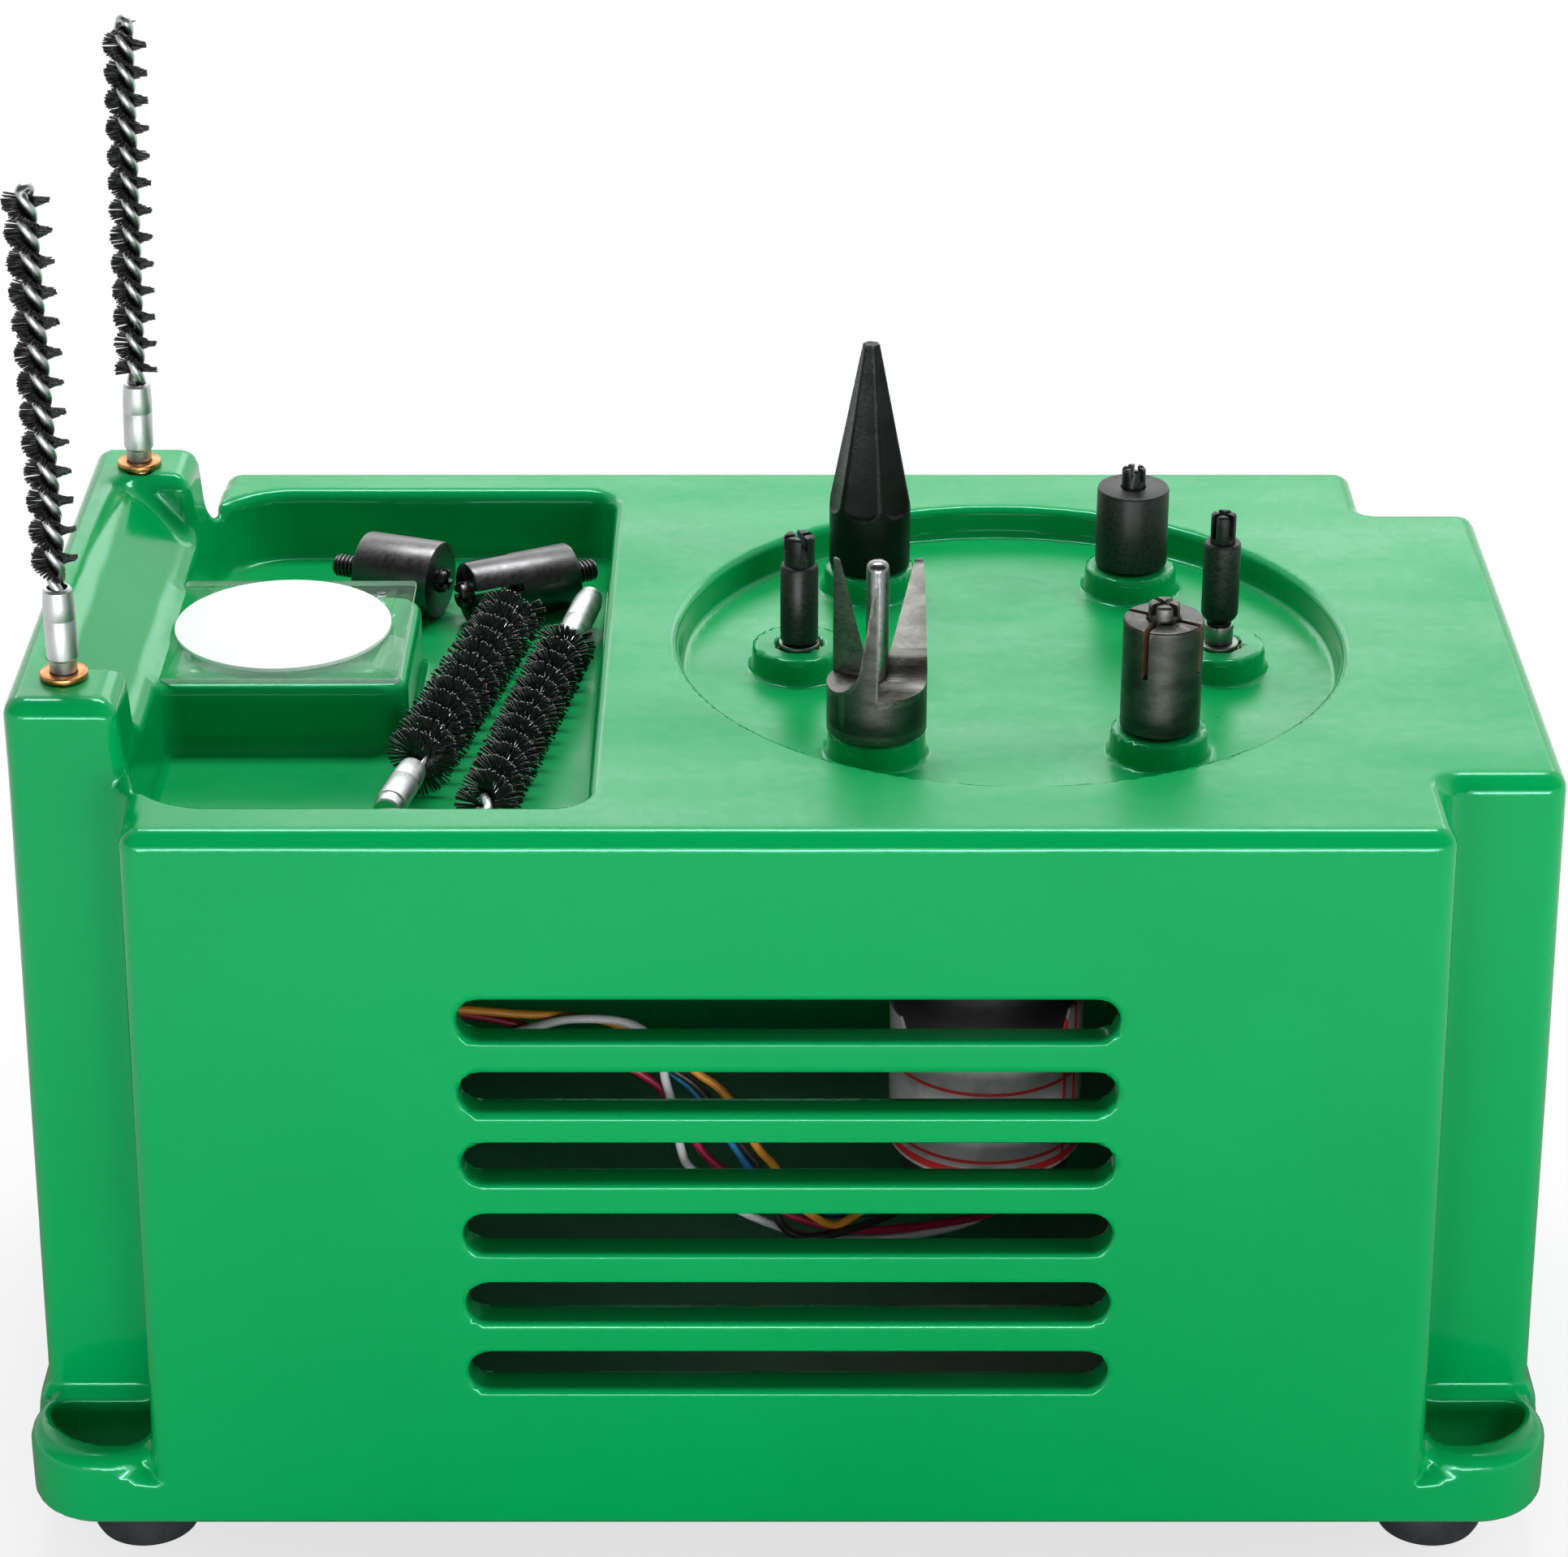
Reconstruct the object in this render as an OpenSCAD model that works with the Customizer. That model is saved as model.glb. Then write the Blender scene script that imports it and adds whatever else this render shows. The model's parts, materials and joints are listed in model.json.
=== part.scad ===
// Powered brass case preparation centre: a moulded housing that carries a tool
// tray, a brass brush on each of two posts, and six spindles driven by one motor.
// Frame: X right, Y away from the user, Z up; the origin lies on the bench under
// the middle of the housing. Millimetres and degrees.

/* [Housing] */
// Width over the corner posts, at the top face
body_w = 258; // [250:1:280]
// Depth over the corner posts, at the top face
post_d = 113.4; // [110:0.2:120]
// Width of the front and back panels, at the top face
panel_w = 216.2; // [212:0.2:226]
// Depth over the front and back panels, at the top face
panel_d = 154.8; // [150:0.2:166]
// Height of the housing without its feet
body_h = 133.5; // [125:0.5:150]
// Draft of the outer walls
draft = 0.92; // [0.4:0.02:1.2]
// Thickness of the walls at the top
wall = 5; // [4:0.25:6]
// Radius of the long outer edges
edge_r = 3.3; // [2:0.1:4]
// Height of the skirt that joins the corner lobes
skirt_h = 13.5; // [12:0.5:15]
// Overhang of the skirt beyond the corner posts
skirt_out = 1.4; // [1:0.1:2]
// Plan radius of the corner lobes
lobe_r = 13; // [10:0.5:15]
// Height of the two brush towers above the top face
tower_h = 13.5; // [10:0.5:18]
// Size of a brush tower along X
tower_w = 20.4; // [18:0.2:23]
// Size of a brush tower along Y
tower_d = 16.2; // [14:0.2:18]
// Width of the flat ridge between the towers
ridge_w = 6.5; // [5:0.5:8]
// Slope of the face between the towers
slant = 47.8; // [45:0.2:52]

/* [Tray] */
// Depth of the tray below the top face
tray_depth = 13.3; // [11:0.1:15]
// Depth of the tray along Y
tray_d = 132.6; // [126:0.2:134]
// X of the right wall of the tray
tray_right = -32.8; // [-36:0.1:-31]
// Radius of the left tray corners
tray_r_left = 15; // [10:0.5:18]
// Radius of the right tray corners
tray_r_right = 6; // [5:0.5:9]
// Fillet between tray floor and walls
tray_fillet = 5; // [3:0.5:6]
// Width of the dish plate along X
dish_w = 41.8; // [40:0.1:43]
// Depth of the dish plate along Y
dish_d = 42; // [38:0.1:43]
// Thickness of the dish plate
dish_t = 1; // [0.8:0.1:2]
// Diameter of the white disc
disc_dia = 38.2; // [34:0.1:38.4]
// Thickness of the white disc
disc_t = 0.8; // [0.5:0.1:1.2]
// Height of the pedestal under the dish
pedestal_h = 12.4; // [10:0.1:12.8]

/* [Turntable recess] */
// X of the middle of the recess and of the gear train
hub_x = 39; // [37:0.5:41]
// Radius of the recess
recess_r = 58.4; // [57.5:0.1:60]
// Depth of the recess
recess_depth = 6; // [4.5:0.1:7]
// Height of a spindle boss above the recess floor
boss_h = 4.7; // [4:0.1:5.5]
// Diameter of a spindle boss at its top
boss_dia = 16.5; // [15.5:0.1:18]

/* [Vent slots] */
// Number of slots
slot_count = 6; // [3:1:6]
// Length of a slot
slot_len = 109; // [80:1:112]
// Height of a slot
slot_h = 7.7; // [5:0.1:8.5]
// Spacing of the slots
slot_pitch = 13.6; // [12.5:0.1:14]
// Height of the middle of the top slot above the bench
slot_top_z = 109.4; // [106:0.1:111]

/* [Feet and base] */
// Height of a rubber foot
foot_h = 10; // [8:0.5:12]
// Diameter of a rubber foot
foot_dia = 22; // [20:0.5:23]
// X of the feet from the middle
foot_x = 113.5; // [113:0.25:115]
// Y of the feet from the middle
foot_y = 64.5; // [64:0.25:65.5]
// Diameter of the bench screw holes
bench_hole = 5; // [4:0.1:5.5]
// Thickness of the base plate
plate_t = 2; // [1.5:0.1:3]

/* [Gear train] */
// Gear module
gear_m = 1; // [1]
// Teeth of the drive gear
drive_teeth = 50; // [50]
// Teeth of the two side gears
side_teeth = 24; // [24]
// Teeth of the four corner gears
corner_teeth = 34; // [34]
// Face width of the gears
gear_t = 8; // [6:0.5:9]
// Play between meshing teeth
backlash = 0.3; // [0.2:0.05:0.4]
// Angle of the corner spindles from the X axis
corner_angle = 55.15; // [54:0.05:57]
// Diameter of a spindle
spindle_dia = 7.2; // [7:0.1:7.6]
// Diameter of the drive shaft
drive_dia = 6; // [5:0.1:6.5]
// Thickness of the steel gear plate
gear_plate_t = 2.5; // [2:0.1:3]
// Diameter of the 8-32 tool studs
stud_dia = 4.17; // [4:0.01:4.3]
// Length of the tool studs in the spindles
stud_len = 9; // [7:0.5:10]

/* [Motor] */
// Diameter of the motor can
motor_dia = 34.8; // [33:0.1:36]
// Length of the motor can
motor_len = 43; // [38:0.5:44]
// Length of the gearbox
gearbox_len = 28; // [26:0.5:32]
// Offset of the motor axis from the output shaft
motor_offset = 2.3; // [1.5:0.1:3]
// Height of the paper wrap
wrap_h = 24; // [20:0.5:26]

/* [Clearances] */
// Running clearance of the shafts, per side
run_clear = 0.05; // [0.02:0.01:0.08]
// Fit of pressed and seated pieces, per side
seat_clear = 0.02; // [0.01:0.01:0.04]
// Gap below pieces that lift out
rest_gap = 0.05; // [0.03:0.01:0.2]

/* [Hidden] */
$fn = 48;
eps = 0.01;

// Levels of the housing
base_z = foot_h;
top_z = base_z + body_h;
skirt_z = base_z + skirt_h;
tower_z = top_z + tower_h;
tray_z = top_z - tray_depth;
recess_z = top_z - recess_depth;
plate_z = base_z + 2;

// Outer faces at a height, which grow towards the base with the draft
function grow(z) = (top_z - z) * tan(draft);
post_x = body_w / 2;
post_y = post_d / 2;
panel_x = panel_w / 2;
panel_y = panel_d / 2;

// Inner faces of the hollow
in_post_x = post_x - wall;
in_post_y = post_y - wall;
in_panel_x = panel_x - wall;
in_panel_y = panel_y - wall;
pocket_top_z = base_z + 18.5;
hollow_step_z = pocket_top_z + 4;
low_post_y = in_post_y - 8;

// Towers, ridge and slanted face
tower_x = -post_x + tower_w;
tower_y = post_y - tower_d;
crease_x = -post_x + ridge_w;
function slant_x(z) = crease_x + (tower_z - z) / tan(slant);
brush_x = -post_x + 9.2;
brush_y = tower_y + 5.8;

// Dish on its pedestal, just clear of the slanted face
dish_z = tray_z + pedestal_h + rest_gap;
dish_left = slant_x(dish_z) + 0.35;
dish_x = dish_left + dish_w / 2;
dish_y = 2.7;

// Gear train levels, from the gear plate up to the spindle tops
boss_z = recess_z + boss_h;
spindle_top = boss_z + 0.3;
floor_under_z = recess_z - wall;
bush_wall = 1.2;
flange_t = 1;
flange_out = 1.2;
post_len = 18;
gear_plate_z = floor_under_z - post_len - gear_plate_t;
gear_plate_top = gear_plate_z + gear_plate_t;
gear_z = gear_plate_top + 4.5;
hub_gap = 0.2;
hub_z = gear_plate_top + flange_t + hub_gap;
hub_top = floor_under_z - flange_t - hub_gap;
gear_plate_r = recess_r - 0.6;
post_at = [47, 27];

// Stations, as [angle, teeth]; the first two sit left and right
side_r = gear_m * (drive_teeth + side_teeth) / 2;
corner_r = gear_m * (drive_teeth + corner_teeth) / 2;
stations = [
    ["l", 180, side_teeth], ["r", 0, side_teeth],
    ["bl", 180 - corner_angle, corner_teeth], ["br", corner_angle, corner_teeth],
    ["fl", 180 + corner_angle, corner_teeth], ["fr", -corner_angle, corner_teeth]];
function station_r(s) = gear_m * (drive_teeth + s[2]) / 2;
function station_xy(s) = [hub_x + station_r(s) * cos(s[1]), station_r(s) * sin(s[1])];
function station(name) = stations[search([name], stations)[0]];

// Motor levels, downward from the gear plate
gearbox_z = gear_plate_z - gearbox_len;
can_z = gearbox_z - motor_len;
end_cap_t = 4;
end_cap_z = can_z - end_cap_t;
motor_x = hub_x - motor_offset;
tab_len = 3;

// ---------- shared shapes ----------

module rounded_rect(half_x, half_y, r) {
    square([2 * half_x - 2 * r, 2 * half_y], center = true);
    square([2 * half_x, 2 * half_y - 2 * r], center = true);
    for (sx = [-1, 1]) for (sy = [-1, 1])
        translate([sx * (half_x - r), sy * (half_y - r)]) circle(r);
}

// One thin level of a lofted block, inset from its outline
module level(half_x, half_y, r, z, inset) {
    translate([0, 0, z]) linear_extrude(eps)
        rounded_rect(half_x - inset, half_y - inset, max(r - inset, 0.6));
}

// Block with drafted sides and a rounded top edge
module drafted_block(half_x, half_y, z0, z1, r) {
    hull() {
        level(half_x + grow(z0), half_y + grow(z0), r, z0, 0, $fn = 24);
        for (a = [0 : 22.5 : 90])
            level(half_x + grow(z1), half_y + grow(z1), r,
                z1 - eps - r + r * sin(a), r * (1 - cos(a)), $fn = 24);
    }
}

module at_station(name) {
    translate(concat(station_xy(station(name)), [0])) children();
}

module tube(r_out, r_in, h) {
    difference() {
        cylinder(r = r_out, h = h);
        translate([0, 0, -1]) cylinder(r = r_in, h = h + 2);
    }
}

// ---------- housing ----------

module tower_block(side) {
    translate([-post_x + tower_w / 2, side * (post_y - tower_d / 2), 0]) hull() {
        for (a = [0 : 22.5 : 90])
            level(tower_w / 2, tower_d / 2, edge_r,
                tower_z - eps - edge_r + edge_r * sin(a), edge_r * (1 - cos(a)), $fn = 24);
        level(tower_w / 2, tower_d / 2, edge_r, tray_z, 0, $fn = 24);
    }
}

// Ridge between the towers, with its slanted face running down to the tray
module slant_wall() {
    outer = -post_x;
    ridge_arc = [for (a = [180 : -15 : 90])
        [outer + edge_r + edge_r * cos(a), tower_z - edge_r + edge_r * sin(a)]];
    translate([0, tower_y + 1, 0]) rotate([90, 0, 0]) linear_extrude(2 * tower_y + 2)
        polygon(concat([[outer, tray_z - wall]], ridge_arc,
            [[crease_x, tower_z], [slant_x(tray_z - 0.5), tray_z - 0.5],
             [slant_x(tray_z - 0.5), tray_z - wall]]));
}

module skirt() {
    half_x = post_x + grow(base_z) + skirt_out;
    half_y = panel_y + grow(base_z);
    rim_r = 3;
    foot_edge = 1.5;
    hull() {
        level(half_x, half_y, lobe_r, base_z, foot_edge, $fn = 32);
        level(half_x, half_y, lobe_r, base_z + foot_edge, 0, $fn = 32);
        for (a = [0 : 30 : 90])
            level(half_x, half_y, lobe_r, skirt_z - eps - rim_r + rim_r * sin(a),
                rim_r * (1 - cos(a)), $fn = 32);
    }
}

// Dished pocket of one corner lobe: a side profile with a scooped back that runs
// under the post, bounded in plan by the rim of the lobe
module lobe_pocket(sx, sy) {
    rim = 5.5;
    x0 = panel_x + grow(base_z) + 0.6;
    x1 = post_x + grow(base_z) + skirt_out - rim;
    y_out = panel_y + grow(base_z) - rim;
    y_in = post_y - 4.5;
    floor_z = base_z + 4;
    r = 5;
    mirror([sx < 0 ? 1 : 0, 0, 0]) mirror([0, sy < 0 ? 1 : 0, 0])
    intersection() {
        translate([x0, 0, 0]) rotate([90, 0, 90]) linear_extrude(x1 - x0)
            polygon(concat(
                [[y_out, skirt_z + 1], [y_out, floor_z + r]],
                [for (a = [0 : -22.5 : -90]) [y_out - r + r * cos(a), floor_z + r + r * sin(a)]],
                [for (a = [-90 : -22.5 : -180]) [y_in + r + r * cos(a), floor_z + r + r * sin(a)]],
                [[y_in, floor_z + 9], [post_y + grow(base_z), pocket_top_z],
                 [post_y + 8, pocket_top_z], [post_y + 8, skirt_z + 1]]));
        translate([0, 0, base_z]) linear_extrude(2 * skirt_h) difference() {
            translate([x0, y_in]) square([x1 - x0, y_out - y_in]);
            translate([x1 - 7.5, y_out - 7.5]) difference() {
                square(8);
                circle(7.5);
            }
        }
    }
}

module tray_level(z, inset) {
    half_d = tray_d / 2 - inset;
    left = tower_x + 0.3 + inset;
    right = tray_right - inset;
    for (sy = [-1, 1]) {
        translate([left + tray_r_left - inset, sy * (half_d - tray_r_left + inset), z])
            cylinder(r = tray_r_left - inset, h = eps, $fn = 32);
        translate([right - tray_r_right + inset, sy * (half_d - tray_r_right + inset), z])
            cylinder(r = max(tray_r_right - inset, 0.5), h = eps, $fn = 32);
    }
}

module tray_cut() {
    hull() {
        for (a = [0 : 22.5 : 90])
            tray_level(tray_z + tray_fillet * (1 - sin(a)), 0.5 + tray_fillet * (1 - cos(a)));
        tray_level(top_z + 1, 0);
    }
    rim = 1.6;
    hull() {
        tray_level(top_z - rim, 0);
        tray_level(top_z + eps, -rim);
    }
    // Between the towers the slanted face replaces the left wall of the tray
    translate([crease_x - 1, -tower_y, tray_z]) cube([12 + tray_fillet, 2 * tower_y, 2 * tower_h]);
}

// The pedestal stands proud of the dish plate in front and beside it, and stops
// short of it at the back, where a finger lifts the plate
pedestal_proud_front = 0.9;
pedestal_proud_side = 1.3;
pedestal_short_back = 3.2;
pedestal_front = dish_y - dish_d / 2 - pedestal_proud_front;
pedestal_right = dish_left + dish_w + pedestal_proud_side;
pedestal_back = dish_y + dish_d / 2 - pedestal_short_back;
module pedestal() {
    right = pedestal_right;
    left = slant_x(tray_z + pedestal_h) - 4;
    front = pedestal_front;
    back = pedestal_back;
    translate([(left + right) / 2, (front + back) / 2, tray_z - 1]) linear_extrude(pedestal_h + 1)
        rounded_rect((right - left) / 2, (back - front) / 2, 4);
}

// Plan of the hollow, a cross of the panel and post outlines
module hollow_plan(post_half) {
    square([2 * in_panel_x, 2 * in_panel_y], center = true);
    square([2 * in_post_x, 2 * post_half], center = true);
}
// The part of a plan that lies right of the tray
module right_of_tray() {
    x0 = tray_right + wall;
    intersection() {
        children();
        translate([x0, -panel_d]) square([body_w, 2 * panel_d]);
    }
}

module hollow() {
    under_tray = tray_z - wall;
    translate([0, 0, base_z - 1]) linear_extrude(under_tray - base_z + 1) hollow_plan(low_post_y);
    translate([0, 0, hollow_step_z]) linear_extrude(under_tray - hollow_step_z)
        hollow_plan(in_post_y);
    // Right of the tray the hollow reaches up to the top wall, round the recess
    translate([0, 0, under_tray - 1]) linear_extrude(floor_under_z - under_tray + 1)
        right_of_tray() hollow_plan(in_post_y);
    translate([0, 0, under_tray - 1]) linear_extrude(top_z - wall - under_tray + 1)
        right_of_tray() difference() {
            hollow_plan(in_post_y);
            translate([hub_x, 0]) circle(recess_r + wall, $fn = 96);
        }
}

module slots() {
    for (i = [0 : slot_count - 1])
        translate([0, 0, slot_top_z - i * slot_pitch]) rotate([90, 0, 0])
            linear_extrude(panel_y + 10) {
                square([slot_len - slot_h, slot_h], center = true);
                for (s = [-1, 1]) translate([s * (slot_len - slot_h) / 2, 0]) circle(slot_h / 2);
            }
}

// Screw bosses for the base plate, along the inner corners and side walls
base_boss_r = 4.5;
base_boss_at = [[in_panel_x - 4, in_panel_y - 4], [in_post_x - 4, 0]];
base_screw_at = concat(
    [for (sx = [-1, 1]) for (sy = [-1, 1]) [sx * base_boss_at[0][0], sy * base_boss_at[0][1]]],
    [for (sx = [-1, 1]) [sx * base_boss_at[1][0], 0]]);
base_boss_z = plate_z + plate_t;
base_boss_h = 24;
screw_r = 1.75;

// Cord inlet in the back panel
inlet_at = [84, base_z + 20];
inlet_flange_r = 7.5;
inlet_r = 5;
inlet_bore_r = 3.2;
inlet_seat_y = panel_y + grow(inlet_at[1]) - 1;

// Rocker switch in the right side
switch_at = [-26, top_z - 36];
switch_seat_x = post_x + grow(switch_at[1]) - 0.8;
bezel = [15.6, 23];
switch_case = [13, 20];
switch_depth = 14;

// Fillet that runs down the inner corner between a post and a panel
module notch_fillet(sx, sy) {
    r = 5;
    translate([sx * (panel_x - 1), sy * (post_y - 1), base_z])
        linear_extrude(body_h - edge_r) mirror([sx < 0 ? 1 : 0, 0]) mirror([0, sy < 0 ? 1 : 0])
            difference() {
                square(r);
                translate([r, r]) circle(r);
            }
}

module housing() {
    color([0, 0.60, 0.31]) difference() {
        union() {
            difference() {
                union() {
                    drafted_block(post_x, post_y, base_z, top_z, edge_r);
                    drafted_block(panel_x, panel_y, base_z, top_z, edge_r);
                    skirt();
                    for (side = [-1, 1]) tower_block(side);
                    for (sx = [-1, 1]) for (sy = [-1, 1]) notch_fillet(sx, sy);
                }
                tray_cut();
                hollow();
                translate([hub_x, 0, recess_z]) cylinder(r = recess_r, h = 2 * recess_depth, $fn = 96);
                for (sx = [-1, 1]) for (sy = [-1, 1]) lobe_pocket(sx, sy);
            }
            slant_wall();
            pedestal();
            for (s = stations) translate(concat(station_xy(s), [recess_z - 1])) {
                cylinder(r1 = boss_dia / 2 + 0.8, r2 = boss_dia / 2, h = boss_h + 1);
            }
            for (p = base_screw_at) translate([p[0], p[1], base_boss_z])
                cylinder(r = base_boss_r, h = base_boss_h);
        }
        slots();
        for (s = stations) translate(concat(station_xy(s), [floor_under_z - 1]))
            cylinder(r = spindle_dia / 2 + bush_wall + seat_clear, h = 20);
        for (p = base_screw_at) translate([p[0], p[1], base_boss_z - 1])
            cylinder(r = screw_r + run_clear, h = 14);
        for (sx = [-1, 1]) for (sy = [-1, 1]) translate([sx * foot_x, sy * foot_y, base_z - 1]) {
            cylinder(d = bench_hole, h = 10);
            cylinder(r = 6 + seat_clear, h = 2.5 + seat_clear);
        }
        for (sy = [-1, 1]) translate([brush_x, sy * brush_y, tower_z - 12])
            cylinder(r = insert_r + seat_clear, h = 20);
        for (p = post_xy) translate([p[0], p[1], floor_under_z - 1])
            cylinder(r = post_spigot_r + seat_clear, h = 1 + post_spigot_h);
        translate([inlet_at[0], 0, inlet_at[1]]) rotate([-90, 0, 0]) {
            cylinder(r = inlet_r + seat_clear, h = panel_y + 20);
            translate([0, 0, inlet_seat_y]) cylinder(r = inlet_flange_r + seat_clear, h = 20);
        }
        translate([in_post_x - 5, switch_at[0] - switch_case[0] / 2 - seat_clear,
                switch_at[1] - switch_case[1] / 2 - seat_clear])
            cube([20, switch_case[0] + 2 * seat_clear, switch_case[1] + 2 * seat_clear]);
        translate([switch_seat_x, switch_at[0] - bezel[0] / 2 - seat_clear,
                switch_at[1] - bezel[1] / 2 - seat_clear])
            cube([20, bezel[0] + 2 * seat_clear, bezel[1] + 2 * seat_clear]);
    }
}

// ---------- base and feet ----------

module base_plate() {
    gap = 0.4;
    color([0.2, 0.22, 0.23]) translate([0, 0, plate_z]) difference() {
        linear_extrude(plate_t) difference() {
            union() {
                square([2 * (in_panel_x - gap), 2 * (in_panel_y - gap)], center = true);
                square([2 * (in_post_x - gap), 2 * (low_post_y - gap)], center = true);
            }
            for (p = base_screw_at) translate(p) circle(screw_r + 0.25);
        }
    }
}

module base_screws() {
    head_t = 1.8;
    color([0.7, 0.7, 0.72]) for (p = base_screw_at) translate([p[0], p[1], plate_z - head_t]) {
        cylinder(r = 3.5, h = head_t);
        cylinder(r = screw_r, h = head_t + plate_t + 10);
    }
}

module rubber_feet() {
    r = foot_dia / 2;
    flat = r - 3.5;
    color([0.1, 0.11, 0.12]) for (sx = [-1, 1]) for (sy = [-1, 1])
        translate([sx * foot_x, sy * foot_y, 0]) difference() {
            rotate_extrude() polygon(concat([[0, 0], [flat, 0]],
                [for (a = [-75 : 15 : 0]) [flat + 3.5 * cos(a), 4.5 + 4.5 * sin(a)]],
                [[r, foot_h], [6, foot_h], [6, foot_h + 1.5], [0, foot_h + 1.5]]));
            translate([0, 0, -1]) cylinder(d = bench_hole, h = foot_h + 5);
        }
}

// ---------- gear plate ----------

post_xy = [for (sx = [-1, 1]) for (sy = [-1, 1]) [hub_x + sx * post_at[0], sy * post_at[1]]];
post_spigot_r = 2.5;
post_spigot_h = 3;
plate_screw_r = 1.5;
motor_screw_at = [for (s = [-1, 1]) [motor_x, s * motor_dia * 0.36]];

module gear_plate() {
    color([0.62, 0.64, 0.66]) translate([0, 0, gear_plate_z]) difference() {
        translate([hub_x, 0, 0]) cylinder(r = gear_plate_r, h = gear_plate_t, $fn = 96);
        for (s = stations) translate(concat(station_xy(s), [-1]))
            cylinder(r = spindle_dia / 2 + bush_wall + seat_clear, h = 10);
        translate([hub_x, 0, -1]) cylinder(r = drive_dia / 2 + 1, h = 10);
        for (p = concat(post_xy, motor_screw_at)) translate([p[0], p[1], -1])
            cylinder(r = plate_screw_r + 0.2, h = 10);
    }
}

module gear_plate_posts() {
    color([0.75, 0.75, 0.77]) for (p = post_xy) translate([p[0], p[1], gear_plate_top]) difference() {
        union() {
            cylinder(r = 4, h = post_len);
            cylinder(r = post_spigot_r, h = post_len + post_spigot_h - 0.2);
        }
        translate([0, 0, -1]) cylinder(r = plate_screw_r + run_clear, h = 10);
    }
}

module gear_plate_screws() {
    head_t = 2;
    color([0.7, 0.7, 0.72]) {
        for (p = post_xy) translate([p[0], p[1], gear_plate_z - head_t]) {
            cylinder(r = 2.8, h = head_t);
            cylinder(r = plate_screw_r, h = head_t + gear_plate_t + 7);
        }
        for (p = motor_screw_at) translate([p[0], p[1], gear_plate_z - 6]) {
            cylinder(r = plate_screw_r, h = 6 + gear_plate_t + head_t);
            translate([0, 0, 6 + gear_plate_t]) cylinder(r = 2.8, h = head_t);
        }
    }
}

module bush(h, flange_z) {
    difference() {
        union() {
            cylinder(r = spindle_dia / 2 + bush_wall, h = h);
            translate([0, 0, flange_z])
                cylinder(r = spindle_dia / 2 + bush_wall + flange_out, h = flange_t);
        }
        translate([0, 0, -1]) cylinder(r = spindle_dia / 2 + run_clear, h = h + 2);
    }
}

module upper_bushes() {
    color([0.72, 0.52, 0.25]) for (s = stations)
        translate(concat(station_xy(s), [floor_under_z - flange_t]))
            bush(boss_z - floor_under_z + flange_t, 0);
}

module lower_bushes() {
    color([0.72, 0.52, 0.25]) for (s = stations)
        translate(concat(station_xy(s), [gear_plate_z])) bush(gear_plate_t + flange_t, gear_plate_t);
}

// ---------- gears ----------

// Involute spur gear outline, one tooth centred on the X axis
function involute(rb, t) = [rb * (cos(t) + t * PI / 180 * sin(t)),
    rb * (sin(t) - t * PI / 180 * cos(t))];
function turn(p, a) = [p[0] * cos(a) - p[1] * sin(a), p[0] * sin(a) + p[1] * cos(a)];
function flip(p) = [p[0], -p[1]];
function tooth_flank(teeth) =
    let (rp = gear_m * teeth / 2,
         rb = rp * cos(20),
         ro = rp + 0.95 * gear_m,
         rr = max(rb, rp - 0.9 * gear_m),
         unwrap = tan(20) * 180 / PI - 20,
         half = 90 / teeth - backlash / 2 / rp * 180 / PI / 2,
         t0 = sqrt(max(pow(rr / rb, 2) - 1, 0)) * 180 / PI,
         t1 = sqrt(pow(ro / rb, 2) - 1) * 180 / PI)
    [for (i = [0 : 3]) turn(involute(rb, t0 + (t1 - t0) * i / 3), -half - unwrap)];
function gear_outline(teeth) =
    let (flank = tooth_flank(teeth),
         n = len(flank),
         root = gear_m * teeth / 2 - 1.25 * gear_m,
         foot = atan2(flank[0][1], flank[0][0]),
         tooth = concat([[root * cos(foot), root * sin(foot)]], flank,
             [for (i = [n - 1 : -1 : 0]) flip(flank[i])],
             [[root * cos(foot), -root * sin(foot)]]))
    [for (k = [0 : teeth - 1]) for (p = tooth) turn(p, 360 * k / teeth)];

module gear(teeth, bore, hub_r, z0, z1) {
    difference() {
        union() {
            translate([0, 0, gear_z]) linear_extrude(gear_t) polygon(gear_outline(teeth));
            translate([0, 0, z0]) cylinder(r = hub_r, h = z1 - z0);
        }
        translate([0, 0, z0 - 1]) cylinder(r = bore / 2 + seat_clear, h = z1 - z0 + 2);
    }
}

// Turn of a follower that lets its teeth mesh with the drive gear
function mesh_turn(s) = s[1] + 180 + (drive_teeth * s[1] - 180) / s[2];

module station_gear(name) {
    s = station(name);
    color([0.93, 0.91, 0.85]) at_station(name) rotate(mesh_turn(s))
        gear(s[2], spindle_dia, spindle_dia / 2 + 3, hub_z, hub_top);
}

module drive_gear() {
    color([0.78, 0.62, 0.3]) translate([hub_x, 0, 0])
        gear(drive_teeth, drive_dia, drive_dia / 2 + 4, gear_plate_top + 0.5, gear_z + gear_t + 2);
}

module drive_shaft() {
    color([0.8, 0.8, 0.82]) translate([hub_x, 0, gear_plate_z - 12])
        cylinder(d = drive_dia, h = 12 + gear_plate_t + 4.5 + gear_t + 3);
}

module spindle(name) {
    color([0.75, 0.76, 0.78]) at_station(name) translate([0, 0, gear_plate_z]) difference() {
        cylinder(d = spindle_dia, h = spindle_top - gear_plate_z);
        translate([0, 0, spindle_top - gear_plate_z - stud_len - 2])
            cylinder(d = stud_dia + 2 * run_clear, h = stud_len + 5);
    }
}

// ---------- motor ----------

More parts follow.
